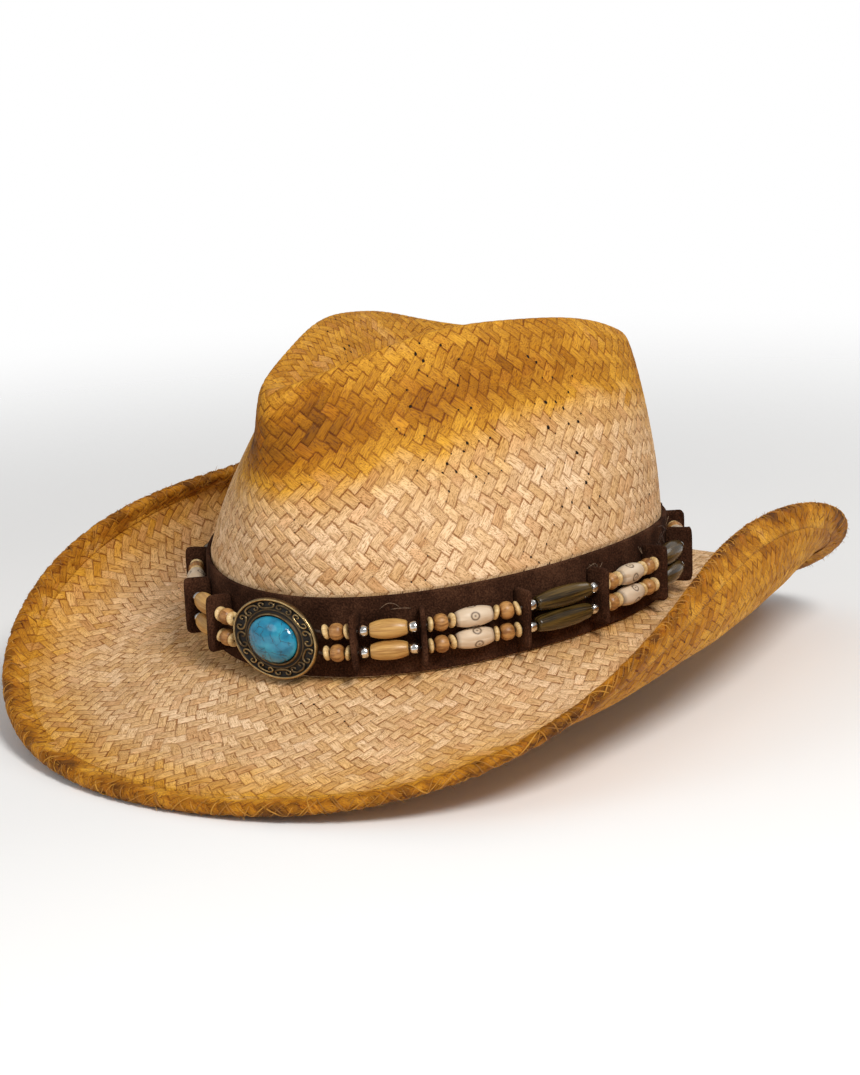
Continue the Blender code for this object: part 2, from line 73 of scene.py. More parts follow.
# Head opening, straw, brim and crown, as in the solid model
HEAD_LENGTH = 0.2104
HEAD_WIDTH = 0.1752
HEAD_SADDLE = 0.0034
STRAW = 0.0020
GAP = 0.0003
BRIM_WIDTH = 0.0888
BRIM_FRONT_REACH = 0.0026
BRIM_FOOT_SLOPE = (-12, -11, 3.5)
BRIM_EDGE_SLOPE = (52, 2, -94, 24, 6)
BRIM_CURL = (2.1, 0.25, 0.1)
RIM_HEIGHT = (0.1155, 0.0065, -0.0070, -0.0035)
RIM_LEAN = 0.0020
RIM_HALF_WIDTH = 0.0525
RIM_TAPER = 0.0110
RIM_LENGTH = 0.1930
RIM_FORWARD = 0.0150
RIM_BACKSET = 0.0050
WALL_BULGE = 0.0015
DENT_DEPTH = 0.0320
DENT_BACKSET = 0.0080
PINCH_DEPTH = 0.0070
PINCH_ANGLE = 38
PINCH_SPREAD = 22
WIRE_DIAMETER = 0.0016
BINDING_WALL = 0.0012
BINDING_LAP = 0.0070

# Bands, strands and concho, as in the solid model
SWEATBAND_HEIGHT = 0.0300
SWEATBAND_THICKNESS = 0.0011
BAND_HEIGHT = 0.0320
BAND_THICKNESS = 0.0018
BAND_FOOT = 0.0008
TRIM_TURN = 0.0040
CORD_DIAMETER = 0.0012
STRAND_SPACING = 0.0086
TILE_HEIGHT = 0.0230
TILE_DEPTH = 0.0110
TILE_THICKNESS = 0.0018
BORE_GAP = 0.0004
BEAD_GAP = 0.0003
TILE_GAP = 0.0008
BAND_CLEARANCE = 0.0005
KEEPER_LENGTH = 0.0140
KEEPER_DEPTH = 0.0110
BEADS = {
    "silver": (0.0043, 0.0043),
    "disc": (0.0024, 0.0060),
    "round": (0.0058, 0.0070),
    "tan_barrel": (0.0148, 0.0078),
    "carved_barrel": (0.0150, 0.0080),
    "dark_barrel": (0.0266, 0.0082),
}
BARREL_END = 0.66
CONCHO_GROUP = ("disc", "round", "disc")
CARVED_GROUP = ("disc", "round", "disc", "carved_barrel", "disc", "round", "disc")
DARK_GROUP = ("silver", "dark_barrel", "silver")
GROUPS = (
    ("silver", "tan_barrel", "silver"),
    CARVED_GROUP,
    DARK_GROUP,
    CARVED_GROUP,
    DARK_GROUP,
    CARVED_GROUP,
    ("disc", "round", "disc", "round", "disc"),
)
CONCHO_WIDTH = 0.0410
CONCHO_HEIGHT = 0.0325
CONCHO_PLATE = 0.0016
CONCHO_RIM = 0.0007
CONCHO_STANDOFF = 0.0048
CONCHO_CLEARANCE = 0.0006
CONCHO_LEAN = -5
STONE_WIDTH = 0.0230
STONE_HEIGHT = 0.0185
STONE_DOME = 0.0056

SEAM_ANGLE = math.radians(112)

SLOPE_SAMPLES = 60
OVAL_SAMPLES = 7200


NOSE = STRAW / 2 + GAP + BINDING_WALL  # half the height of the folded edge
TILE_SQUARENESS = 0.26  # power of the tiles' outline: 1 is an oval, and 0 a rectangle
MARK_RADIUS = 0.00155  # of the rings carved in the bone beads
MARK_DEPTH = 0.00022
BRIM_ROUND = 1.02  # roughly the brim's edge, which sets how many faces go round it
CROWN_ROUND = 0.64  # and the same for the crown
SCATTER_TURN = 2.39996  # 137.5 degrees, from one started or ended strip to the next


# ---------------------------------------------------------------- outlines


def waves(angle, terms):
    """terms[0] + terms[1] cos(angle) + terms[2] cos(2 angle) and so on."""
    return sum(term * np.cos(order * angle) for order, term in enumerate(terms))


def unit(vectors):
    """Each vector over its length."""
    return vectors / np.maximum(np.linalg.norm(vectors, axis=-1, keepdims=True), 1e-12)


def smooth_step(value, low, high):
    """0 below low, 1 above high, and 3t^2 - 2t^3 between them."""
    share = np.clip((value - low) / (high - low), 0, 1)
    return share * share * (3 - 2 * share)


def oval(angle, growth=0.0):
    """(point, outward direction) on the foot of the crown: an ellipse whose height follows cos(2 angle)."""
    angle = np.asarray(angle, dtype=float)
    width, length = HEAD_WIDTH / 2, HEAD_LENGTH / 2
    outward = unit(np.stack([np.sin(angle) / width, -np.cos(angle) / length, 0 * angle], -1))
    height = -HEAD_SADDLE * np.cos(2 * angle)
    point = np.stack([width * np.sin(angle), -length * np.cos(angle), height], -1)
    return point + outward * growth, outward


def brim(angle, short):
    """(point, slope) on top of the brim, `short` inside its edge: the sum along the section of a slope
    that turns from the foot's to the edge's as a power of the share of the width."""
    width = waves(angle, (BRIM_WIDTH, BRIM_FRONT_REACH))
    reach = width - short
    first, last, power = (waves(angle, terms) for terms in (BRIM_FOOT_SLOPE, BRIM_EDGE_SLOPE, BRIM_CURL))
    steps = (np.arange(SLOPE_SAMPLES) + 0.5)[:, None] / SLOPE_SAMPLES
    slope = np.radians(first + (last - first) * (steps * reach / width) ** power)
    foot, outward = oval(angle)
    run = (np.cos(slope).mean(axis=0) * reach)[:, None]
    rise = (np.sin(slope).mean(axis=0) * reach)[:, None]
    return foot + outward * run + UP * rise, np.radians(first + (last - first) * (reach / width) ** power)


def square_to(angle, slope):
    """The direction square to the brim, from its slope."""
    return UP * np.cos(slope)[:, None] - oval(angle)[1] * np.sin(slope)[:, None]


def smooth_curve(points, share):
    """Points at each share, 0 to 1, along the uniform cubic B-spline held at its first and last point."""
    held = np.concatenate([points[:1], points[:1], points, points[-1:], points[-1:]])
    place = np.asarray(share) * (len(held) - 3)
    first = np.minimum(place.astype(int), len(held) - 4)
    t = (place - first).reshape(-1, *[1] * (points.ndim - 1))
    weights = (
        (1 - t) ** 3 / 6,
        (3 * t**3 - 6 * t**2 + 4) / 6,
        (-3 * t**3 + 3 * t**2 + 3 * t + 1) / 6,
        t**3 / 6,
    )
    return sum(weight * held[first + index] for index, weight in enumerate(weights))


def crown_control(angle):
    """Control points of the crown's sections: a knee above the band, the wall, the rim and the dent."""
    foot, outward = oval(angle)
    knee = foot + UP * (BAND_HEIGHT + 2 * BAND_FOOT)
    height = waves(angle, RIM_HEIGHT) + RIM_LEAN * np.sin(angle)
    rim = np.stack(
        [
            RIM_HALF_WIDTH * np.sin(angle) - RIM_TAPER * np.sin(2 * angle),
            RIM_BACKSET - RIM_LENGTH / 2 * np.cos(angle) - RIM_FORWARD * np.cos(2 * angle),
            height,
        ],
        -1,
    )
    rim_height = height[:, None]
    side = np.abs((angle + math.pi) % TAU - math.pi)
    away = (side - math.radians(PINCH_ANGLE)) / math.radians(PINCH_SPREAD)
    pinch = outward * (PINCH_DEPTH * np.exp(-(away**2)))[:, None]
    middle = np.array([0, DENT_BACKSET, 0])
    floor = RIM_HEIGHT[0] - DENT_DEPTH

    def wall(share, bulge, pinched):
        return knee + (rim - knee) * share + outward * bulge - pinch * pinched

    def top(share, drop):
        flat = middle + (rim - middle) * share
        return flat * (1, 1, 0) + UP * (rim_height + (floor - rim_height) * drop)

    return np.array(
        [
            knee,
            wall(0.20, WALL_BULGE, 0),
            wall(0.45, WALL_BULGE, 0.3),
            wall(0.75, WALL_BULGE, 1.0),
            wall(0.97, 0, 0.4),
            top(0.93, 0.02),
            top(0.72, 0.38),
            top(0.45, 0.85),
            top(0.20, 1.0),
            top(0.0, 1.0),
        ]
    )


def grid_normals(grid):
    """Outward normals of a closed grid whose rows rise and whose columns run round the hat."""
    across = np.roll(grid, -1, axis=1) - np.roll(grid, 1, axis=1)
    normals = unit(np.cross(across, np.gradient(grid, axis=0)))
    normals[-1] = np.where(np.linalg.norm(across[-1], axis=-1, keepdims=True) > 1e-9, normals[-1], UP)
    return normals


def edge_depth():
    """How far the folded edge reaches past the straw, with the wire between them."""
    return 2 * GAP + WIRE_DIAMETER + BINDING_WALL


# ---------------------------------------------------------------- mesh making


def shuffled(seed):
    """Seeded random draws, the same in each run."""
    return np.random.default_rng(seed)


def wavy_noise(points, size, seed, count=14):
    """Smooth noise of about -1 to 1: a sum of `count` sine waves of random direction and of wavelengths
    near `size`."""
    draw = shuffled(seed)
    direction = unit(draw.normal(size=(count, 3)))
    pace = TAU / (size * draw.uniform(0.7, 1.5, count))
    start = draw.uniform(0, TAU, count)
    total = np.zeros(points.shape[:-1])
    for k in range(count):
        total += np.sin(points @ (direction[k] * pace[k]) + start[k])
    return total / math.sqrt(count)


def make_piece(name, points, faces, finish, body, texture=None, fields=None, normals=None):
    """One mesh object from whole arrays. faces is a list of index arrays with 3 or 4 columns, texture
    holds one UV pair for each face corner in that order, and fields is {name: one value per point}."""
    mesh = bpy.data.meshes.new(name)
    mesh.vertices.add(len(points))
    mesh.vertices.foreach_set("co", np.ascontiguousarray(points, np.float32).ravel())
    corners = np.concatenate([block.ravel() for block in faces]).astype(np.int32)
    sizes = np.concatenate([np.full(len(block), block.shape[1]) for block in faces]).astype(np.int32)
    mesh.loops.add(len(corners))
    mesh.loops.foreach_set("vertex_index", corners)
    mesh.polygons.add(len(sizes))
    mesh.polygons.foreach_set("loop_start", np.concatenate([[0], np.cumsum(sizes)[:-1]]).astype(np.int32))
    mesh.update(calc_edges=True)
    mesh.polygons.foreach_set("use_smooth", np.ones(len(sizes), bool))
    if texture is not None:
        layer = mesh.uv_layers.new(name="UVMap")
        layer.data.foreach_set("uv", np.ascontiguousarray(texture, np.float32).ravel())
    for field, values in (fields or {}).items():
        wide = np.ndim(values) == 2
        made = mesh.attributes.new(field, "FLOAT_VECTOR" if wide else "FLOAT", "POINT")
        made.data.foreach_set("vector" if wide else "value", np.ascontiguousarray(values, np.float32).ravel())
    if normals is not None:
        mesh.normals_split_custom_set_from_vertices(np.asarray(normals, np.float32).tolist())
    mesh.materials.append(finish)
    obj = bpy.data.objects.new(name, mesh)
    bpy.context.scene.collection.objects.link(obj)
    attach(obj, body)
    return obj


def ring_faces(rows, columns, start=0, closed_rows=False):
    """Quads of a grid whose columns close into a ring. With closed_rows the last row joins the first."""
    row = np.arange(rows if closed_rows else rows - 1)[:, None]
    column = np.arange(columns)[None, :]
    above, beside = (row + 1) % rows, (column + 1) % columns
    here, over = row * columns, above * columns
    corners = [here + column, here + beside, over + beside, over + column]
    return np.stack([np.broadcast_to(c, (len(row), columns)) for c in corners], -1).reshape(-1, 4) + start


def ring_texture(rows, columns, around, along, closed_rows=False):
    """UV of ring_faces' corners. around is the whole width round the ring, and along each row's value."""
    row = np.arange(rows if closed_rows else rows - 1)[:, None]
    column = np.arange(columns)[None, :]
    here, above = along[row], along[(row + 1) % rows]
    step = around / columns
    pairs = [(column, here), (column + 1, here), (column + 1, above), (column, above)]
    made = [np.stack(np.broadcast_arrays(u * step, v + 0 * u), -1) for u, v in pairs]
    return np.stack(made, 2).reshape(-1, 2)


class Heap:
    """Like shapes gathered into one mesh."""

    def __init__(self):
        self.points, self.faces, self.texture, self.fields, self.count = [], [], [], {}, 0

    def add(self, points, faces, texture=None, **fields):
        self.points.append(points)
        self.faces.append(faces + self.count)
        if texture is not None:
            self.texture.append(texture)
        for field, values in fields.items():
            self.fields.setdefault(field, []).append(np.broadcast_to(values, len(points)))
        self.count += len(points)

    def piece(self, name, finish, body=RECORD_BODY, slot=None):
        texture = np.concatenate(self.texture) if self.texture else None
        fields = {field: np.concatenate(values) for field, values in self.fields.items()}
        points = np.concatenate(self.points)
        return make_piece(name, points, self.faces, finish, body, texture, fields)


def tube(path, radius, sides, up=UP, flat=1.0):
    """(points, quads) of a closed tube: a circle of `radius`, one value or one per point, pressed to
    `flat` of its height, carried along the path. Its ends close in a small square cap."""
    path = np.asarray(path, float)
    along = unit(np.gradient(path, axis=0))
    side = unit(np.cross(along, up))
    rise = np.cross(side, along)
    turns = np.linspace(0, TAU, sides, endpoint=False)
    radius = np.broadcast_to(radius, len(path))[:, None, None]
    circle = side[:, None] * np.cos(turns)[:, None] + rise[:, None] * (np.sin(turns) * flat)[:, None]
    points = (path[:, None] + circle * radius).reshape(-1, 3)
    faces = ring_faces(len(path), sides)[:, ::-1]
    if sides == 4:
        last = (len(path) - 1) * sides
        caps = np.array([[0, 1, 2, 3], [last + 3, last + 2, last + 1, last]])
    else:
        last = (len(path) - 1) * sides
        fan = np.arange(sides)
        points = np.concatenate([points, path[:1], path[-1:]])
        low, high = len(points) - 2, len(points) - 1
        first_cap = np.stack([fan, (fan + 1) % sides, 0 * fan + low, 0 * fan + low], -1)
        last_cap = np.stack([last + (fan + 1) % sides, last + fan, 0 * fan + high, 0 * fan + high], -1)
        return points, faces, np.concatenate([first_cap, last_cap])[:, :3]
    return points, np.concatenate([faces, caps]), None


# ---------------------------------------------------------------- node helpers


class Nodes:
    """Adds nodes to one tree. An input is a number, a colour or another node's socket."""

    def __init__(self, tree):
        self.tree = tree

    def add(self, kind, inputs=None, **settings):
        made = self.tree.nodes.new(kind)
        for name, value in settings.items():
            setattr(made, name, value)
        for name, value in (inputs or {}).items():
            self.feed(made.inputs[name], value)
        return made

    def feed(self, socket, value):
        if isinstance(value, bpy.types.NodeSocket):
            self.tree.links.new(value, socket)
        else:
            socket.default_value = value

    def sum(self, operation, *values, clamp=False):
        made = self.add("ShaderNodeMath", dict(enumerate(values)), operation=operation, use_clamp=clamp)
        return made.outputs[0]

    def vector(self, operation, first, second=None, scale=None):
        made = self.add("ShaderNodeVectorMath", {0: first}, operation=operation)
        if second is not None:
            self.feed(made.inputs[1], second)
        if scale is not None:
            self.feed(made.inputs["Scale"], scale)
        return made.outputs["Value" if operation == "LENGTH" else "Vector"]

    def combine(self, x, y, z=0.0):
        return self.add("ShaderNodeCombineXYZ", {"X": x, "Y": y, "Z": z}).outputs[0]

    def split(self, vector):
        return self.add("ShaderNodeSeparateXYZ", {"Vector": vector}).outputs

    def noise(self, place, scale, detail=2.0, colour=False, distortion=0.0):
        made = self.add(
            "ShaderNodeTexNoise",
            {"Vector": place, "Scale": scale, "Detail": detail, "Distortion": distortion},
        )
        return made.outputs["Color" if colour else "Fac"]

    def remap(self, value, low, high, to_low=0.0, to_high=1.0):
        made = self.add(
            "ShaderNodeMapRange",
            {"Value": value, "From Min": low, "From Max": high, "To Min": to_low, "To Max": to_high},
            interpolation_type="SMOOTHSTEP",
        )
        return made.outputs["Result"]

    def mix(self, share, first, second, blend_type="MIX"):
        sockets = {0: share, 6: first, 7: second}
        return self.add("ShaderNodeMix", sockets, data_type="RGBA", blend_type=blend_type).outputs[2]

    def times(self, first, second):
        return self.mix(1.0, first, second, "MULTIPLY")

    def ramp(self, value, stops):
        made = self.add("ShaderNodeValToRGB", {"Fac": value})
        band = made.color_ramp
        while len(band.elements) < len(stops):
            band.elements.new(0.5)
        for element, (place, colour) in zip(band.elements, stops):
            element.position = place
            element.color = (*colour[:3], 1)
        return made.outputs["Color"]

    def object_place(self):
        return self.add("ShaderNodeTexCoord").outputs["Object"]

    def texture_place(self):
        return self.add("ShaderNodeUVMap", uv_map="UVMap").outputs["UV"]

    def field(self, name, vector=False):
        return self.add("ShaderNodeAttribute", attribute_name=name).outputs["Vector" if vector else "Fac"]

    def bump(self, height, distance, strength=1.0):
        made = self.add("ShaderNodeBump", {"Height": height, "Distance": distance, "Strength": strength})
        return made.outputs["Normal"]

    def use(self, group, **inputs):
        made = self.add("ShaderNodeGroup", node_tree=group)
        for name, value in inputs.items():
            self.feed(made.inputs[name.replace("_", " ")], value)
        return made.outputs


def shader_group(name, inputs, outputs, fill):
    """A node group built once: fill(nodes, input sockets) gives {output name: socket}."""
    if name in bpy.data.node_groups:
        return bpy.data.node_groups[name]
    group = bpy.data.node_groups.new(name, "ShaderNodeTree")
    for socket, kind in inputs.items():
        group.interface.new_socket(name=socket, in_out="INPUT", socket_type="NodeSocket" + kind)
    for socket, kind in outputs.items():
        group.interface.new_socket(name=socket, in_out="OUTPUT", socket_type="NodeSocket" + kind)
    nodes = Nodes(group)
    given = nodes.add("NodeGroupInput")
    results = fill(nodes, given.outputs)
    taken = nodes.add("NodeGroupOutput")
    for socket, value in results.items():
        nodes.feed(taken.inputs[socket], value)
    return group


def finish_of(name, fill, **constants):
    """A material whose fill(nodes) gives {shader input: socket}, with constants set on the shader."""
    if name in bpy.data.materials:
        return bpy.data.materials[name]
    made = bpy.data.materials.new(name)
    made.use_nodes = True
    nodes = Nodes(made.node_tree)
    shader = made.node_tree.nodes["Principled BSDF"]
    for socket, value in constants.items():
        shader.inputs[socket.replace("_", " ")].default_value = value
    for socket, value in fill(nodes).items():
        nodes.feed(shader.inputs[socket], value)
    return made


# ---------------------------------------------------------------- shared effects


def plait_group():
    """Reads the plait's two strip counts from UV and gives each strip's tint, fibres, painted shade along its
    edges, painted dark holes at its corners, and height.
    Two over and two under: strip i lies on top of strip j while i - j, counted round by fours, is 0 or 1."""

    def fill(nodes, given):
        place = given["Place"]
        wobble = nodes.split(nodes.noise(place, 420.0, 1.0, colour=True))
        count = nodes.split(given["Plait"])
        p = nodes.sum("ADD", count[0], nodes.sum("MULTIPLY_ADD", wobble[0], 0.14, -0.07))
        q = nodes.sum("ADD", count[1], nodes.sum("MULTIPLY_ADD", wobble[1], 0.14, -0.07))
        i, j = nodes.sum("FLOOR", p), nodes.sum("FLOOR", q)
        over = nodes.sum("LESS_THAN", nodes.sum("FLOORED_MODULO", nodes.sum("SUBTRACT", i, j), 4.0), 1.5)

        def either(on_top, below):
            return nodes.sum("MULTIPLY_ADD", over, nodes.sum("SUBTRACT", on_top, below), below)

        in_p, in_q = nodes.sum("SUBTRACT", p, i), nodes.sum("SUBTRACT", q, j)
        across = either(in_p, in_q)
        run_p = nodes.sum("FLOORED_MODULO", nodes.sum("ADD", nodes.sum("SUBTRACT", q, i), 1.0), 4.0)
        run_q = nodes.sum("FLOORED_MODULO", nodes.sum("ADD", nodes.sum("SUBTRACT", p, j), 2.0), 4.0)
        along = either(run_p, run_q)
        to_end = nodes.sum("SUBTRACT", 1.0, along)
        step_p = either(nodes.sum("SUBTRACT", 0.5, in_p), to_end)
        step_q = either(to_end, nodes.sum("SUBTRACT", 0.5, in_q))
        centre = nodes.vector("ADD", place, nodes.vector("SCALE", given["Strip A"], scale=step_p))
        centre = nodes.vector("ADD", centre, nodes.vector("SCALE", given["Strip B"], scale=step_q))
        tint = nodes.split(nodes.noise(centre, 210.0, 0.0, colour=True))
        grain_place = nodes.combine(
            nodes.sum("MULTIPLY", across, 6.0),
            nodes.sum("MULTIPLY", along, 0.45),
            nodes.sum("MULTIPLY", tint[2], 60.0),
        )
        fibres = nodes.noise(grain_place, 1.5, 3.0)
        # Painted shade: a thin dark line along each strip's sides, and a stronger one at each end of its run,
        # where it passes under the crossing strip.
        side = nodes.sum("SUBTRACT", 0.5, nodes.sum("ABSOLUTE", nodes.sum("SUBTRACT", across, 0.5)))
        end = nodes.sum("SUBTRACT", 1.0, nodes.sum("ABSOLUTE", to_end))
        rough_edge = nodes.sum("MULTIPLY", nodes.noise(place, 700.0, 2.0), 0.16)
        side_shade = nodes.remap(side, nodes.sum("MULTIPLY", rough_edge, 0.25), rough_edge, 1.0, 0.0)
        end_low, end_high = nodes.sum("MULTIPLY", rough_edge, 0.8), nodes.sum("ADD", rough_edge, 0.10)
        end_shade = nodes.remap(end, end_low, end_high, 1.0, 0.0)
        side_share = nodes.remap(tint[1], 0.35, 0.65, 0.25, 0.80)
        end_share = nodes.remap(tint[2], 0.35, 0.62, 0.45, 1.0)
        side_shade = nodes.sum("MULTIPLY", side_shade, side_share)
        shade = nodes.sum("MAXIMUM", side_shade, nodes.sum("MULTIPLY", end_shade, end_share))
        # Painted dark holes where strips gape at their corners: no gap is cut in the mesh, and the same mask
        # also sinks the bump.
        off_p = nodes.sum("SUBTRACT", p, nodes.sum("ROUND", p))
        off_q = nodes.sum("SUBTRACT", q, nodes.sum("ROUND", q))
        corner = nodes.vector("LENGTH", nodes.combine(off_p, off_q))
        gaping = nodes.remap(nodes.noise(place, 150.0, 1.0), 0.52, 0.68, 0.0, 0.20)
        room = nodes.sum("MULTIPLY", gaping, given["Open"])
        hole = nodes.remap(corner, nodes.sum("MULTIPLY", room, 0.7), nodes.sum("ADD", room, 0.01), 1.0, 0.0)
        hole = nodes.sum("MULTIPLY", hole, nodes.sum("GREATER_THAN", room, 0.03))
        crowned = nodes.remap(side, 0.0, 0.16)
        dipped = nodes.remap(end, 0.0, 0.35)
        crowned = nodes.sum("MULTIPLY_ADD", crowned, 0.55, 0.45)
        height = nodes.sum("MULTIPLY", crowned, nodes.sum("MULTIPLY_ADD", dipped, 0.6, 0.4))
        height = nodes.sum("ADD", height, nodes.sum("MULTIPLY", fibres, 0.7))
        height = nodes.sum("SUBTRACT", height, nodes.sum("MULTIPLY", hole, 1.2))
        values = (tint[0], tint[1], fibres, shade, hole, height)
        return dict(zip(outputs, values))

    inputs = {"Plait": "Vector", "Place": "Vector", "Strip A": "Vector", "Strip B": "Vector", "Open": "Float"}
    outputs = dict.fromkeys(("Tint", "Other Tint", "Fibres", "Shade", "Hole", "Height"), "Float")
    return shader_group("Plait", inputs, outputs, fill)


def grain_group():
    """Long grain: noise squeezed round a bead and drawn out along it, from UV in metres."""

    def fill(nodes, given):
        place = nodes.split(given["Place"])
        drawn = nodes.combine(
            nodes.sum("MULTIPLY", place[0], given["Across"]), nodes.sum("MULTIPLY", place[1], given["Along"])
        )
        fine = nodes.noise(drawn, 1.0, 5.0, distortion=0.4)
        broad = nodes.noise(drawn, 0.28, 2.0, distortion=0.8)
        return {"Fine": fine, "Broad": broad}

    inputs = {"Place": "Vector", "Across": "Float", "Along": "Float"}
    return shader_group("Grain", inputs, {"Fine": "Float", "Broad": "Float"}, fill)


def mottle_group():
    """Cloudy colour and fine bump of suede, cloth or cast metal, from Object coordinates."""

    def fill(nodes, given):
        cloud = nodes.noise(given["Place"], given["Cloud Scale"], 3.0)
        nap = nodes.noise(given["Place"], given["Nap Scale"], 3.0)
        return {"Cloud": cloud, "Nap": nap}

    return shader_group(
        "Mottle",
        {"Place": "Vector", "Cloud Scale": "Float", "Nap Scale": "Float"},
        {"Cloud": "Float", "Nap": "Float"},
        fill,
    )


# ---------------------------------------------------------------- finishes


def straw_finish(name, straw, open_share):
    """Plaited straw, sprayed from natural to golden to brown by a field that on the crown also holds painted
    shade under the rim; with painted shade along the strips' edges, near-black painted shade in their corner
    gaps and painted sheen on the lighter fibres.
    """

    def fill(nodes):
        place = nodes.object_place()
        plait = nodes.use(
            plait_group(),
            Plait=nodes.texture_place(),
            Place=place,
            Strip_A=nodes.field("strip_a", vector=True),
            Strip_B=nodes.field("strip_b", vector=True),
            Open=nodes.sum("MULTIPLY", nodes.field("open"), open_share),
        )
        drift = nodes.sum("MULTIPLY_ADD", nodes.noise(place, 42.0, 3.0), 0.30, -0.15)
        fleck = nodes.sum("MULTIPLY_ADD", plait["Other Tint"], 0.36, -0.18)
        spray_and_shade = nodes.sum("ADD", nodes.sum("ADD", nodes.field("spray_and_shade"), drift), fleck)
        colour = nodes.ramp(
            spray_and_shade,
            [
                (0.0, straw.natural),
                (0.24, straw.natural_warm),
                (0.52, straw.golden),
                (0.78, straw.amber),
                (1.0, straw.brown),
            ],
        )
        light = nodes.remap(plait["Tint"], 0.30, 0.70)
        colour = nodes.mix(light, nodes.times(colour, (0.80, 0.73, 0.62, 1)), colour)
        tawny = nodes.remap(plait["Other Tint"], 0.38, 0.30, 0.0, 0.55)
        colour = nodes.mix(tawny, colour, nodes.times(colour, (*straw.tawny, 1)))
        # Fibre streaks: darker lines and lighter ones at 1.2 times the colour, partly the straw's own streaky
        # tone, partly painted sheen on the lighter fibres.
        streak = nodes.mix(
            nodes.remap(plait["Fibres"], 0.30, 0.66),
            nodes.times(colour, (*straw.streak, 1)),
            nodes.times(colour, (1.20, 1.20, 1.20, 1)),
        )
        split = nodes.remap(plait["Fibres"], 0.42, 0.33, 0.0, 0.55)
        streak = nodes.mix(split, streak, nodes.times(streak, (*straw.seam, 1)))
        # Painted shade along the strips' edges, its strength varying from place to place.
        drawn = nodes.remap(nodes.noise(place, 70.0, 2.0), 0.35, 0.62, 0.55, 0.95)
        shaded = nodes.sum("MULTIPLY", plait["Shade"], drawn)
        line = nodes.mix(shaded, streak, nodes.times(streak, (*straw.seam, 1)))
        # Near-black painted shade in the gaps at the strips' corners; the straw is not cut through.
        colour = nodes.mix(plait["Hole"], line, (0.012, 0.006, 0.003, 1))
        rough = nodes.remap(plait["Fibres"], 0.3, 0.7, 0.55, 0.8)
        return {
            "Base Color": colour,
            "Roughness": rough,
            "Normal": nodes.bump(plait["Height"], 0.00028, 1.0),
        }

    return finish_of(name, fill, Specular_IOR_Level=0.18)


def suede_finish(suede):
    """Napped suede: cloudy dark brown, partly the nap's own tone, with lighter patches of painted sheen where
    it is brushed towards the light and darker ones of painted shade where it is brushed away.
    """

    def fill(nodes):
        place = nodes.object_place()
        mottle = nodes.use(mottle_group(), Place=place, Cloud_Scale=90.0, Nap_Scale=1500.0)
        pile = nodes.sum("MULTIPLY_ADD", mottle["Nap"], 0.6, nodes.sum("MULTIPLY", mottle["Cloud"], 0.5))
        colour = nodes.ramp(
            pile, [(0.42, suede.dark_tone_and_shade), (0.55, suede.colour), (0.68, suede.colour_light)]
        )
        return {"Base Color": colour, "Normal": nodes.bump(mottle["Nap"], 0.0006, 0.9)}

    return finish_of("napped_suede", fill, Roughness=1.0, Specular_IOR_Level=0.06)


def bead_finish(name, dark, light, across, along, gloss, bump=0.00008):
    """Turned wood or horn: fine grain along the bead between two colours."""

    def fill(nodes):
        grain = nodes.use(grain_group(), Place=nodes.texture_place(), Across=across, Along=along)
        both = nodes.sum("MULTIPLY_ADD", grain["Broad"], 0.6, nodes.sum("MULTIPLY", grain["Fine"], 0.4))
        colour = nodes.ramp(both, [(0.40, dark), (0.60, light)])
        rough = nodes.remap(grain["Fine"], 0.3, 0.7, gloss, gloss + 0.12)
        return {"Base Color": colour, "Roughness": rough, "Normal": nodes.bump(grain["Fine"], bump, 0.6)}

    return finish_of(name, fill, Coat_Roughness=0.12)


def carved_finish(bead):
    """Pale carved bone: brown stain in the cuts and towards the ends."""

    def fill(nodes):
        grain = nodes.use(grain_group(), Place=nodes.texture_place(), Across=700.0, Along=260.0)
        colour = nodes.ramp(grain["Broad"], [(0.3, bead.bone_warm), (0.62, bead.bone)])
        stain = nodes.sum("MULTIPLY", nodes.field("stain"), nodes.remap(grain["Fine"], 0.2, 0.5, 0.6, 1.0))
        colour = nodes.mix(stain, colour, (*bead.bone_stain, 1))
        return {
            "Base Color": colour,
            "Roughness": nodes.remap(grain["Fine"], 0.3, 0.7, 0.38, 0.56),
            "Normal": nodes.bump(grain["Fine"], 0.0001, 0.6),
        }

    return finish_of("stained_bone", fill)


def silver_finish():
    """Polished silver: cloudy brightness and fine scratches."""
    def fill(nodes):
        place = nodes.object_place()
        mottle = nodes.use(mottle_group(), Place=place, Cloud_Scale=420.0, Nap_Scale=2400.0)
        bright = [(0.35, (0.62, 0.60, 0.57)), (0.65, (0.93, 0.92, 0.90))]
        return {
            "Base Color": nodes.ramp(mottle["Cloud"], bright),
            "Roughness": nodes.remap(mottle["Nap"], 0.35, 0.65, 0.10, 0.24),
            "Normal": nodes.bump(mottle["Cloud"], 0.0003, 0.5),
        }

    return finish_of("polished_silver", fill, Metallic=1.0)


def bronze_finish(concho):
    """Antiqued bronze: black in the hollows, brown on the field, and brass where the high parts are
    rubbed bright."""

    def fill(nodes):
        place = nodes.object_place()
        mottle = nodes.use(mottle_group(), Place=place, Cloud_Scale=500.0, Nap_Scale=2600.0)
        worn = nodes.sum("ADD", nodes.field("worn"), nodes.sum("MULTIPLY_ADD", mottle["Cloud"], 0.5, -0.25))
        colour = nodes.ramp(worn, [(0.10, concho.hollow), (0.55, concho.bronze), (1.0, concho.brass)])
        return {
            "Base Color": colour,
            "Roughness": nodes.remap(worn, 0.2, 0.9, 0.55, 0.24),
            "Metallic": nodes.remap(worn, 0.0, 0.35, 0.35, 1.0),
            "Normal": nodes.bump(mottle["Nap"], 0.00012, 0.5),
        }

    return finish_of("rubbed_bronze", fill)


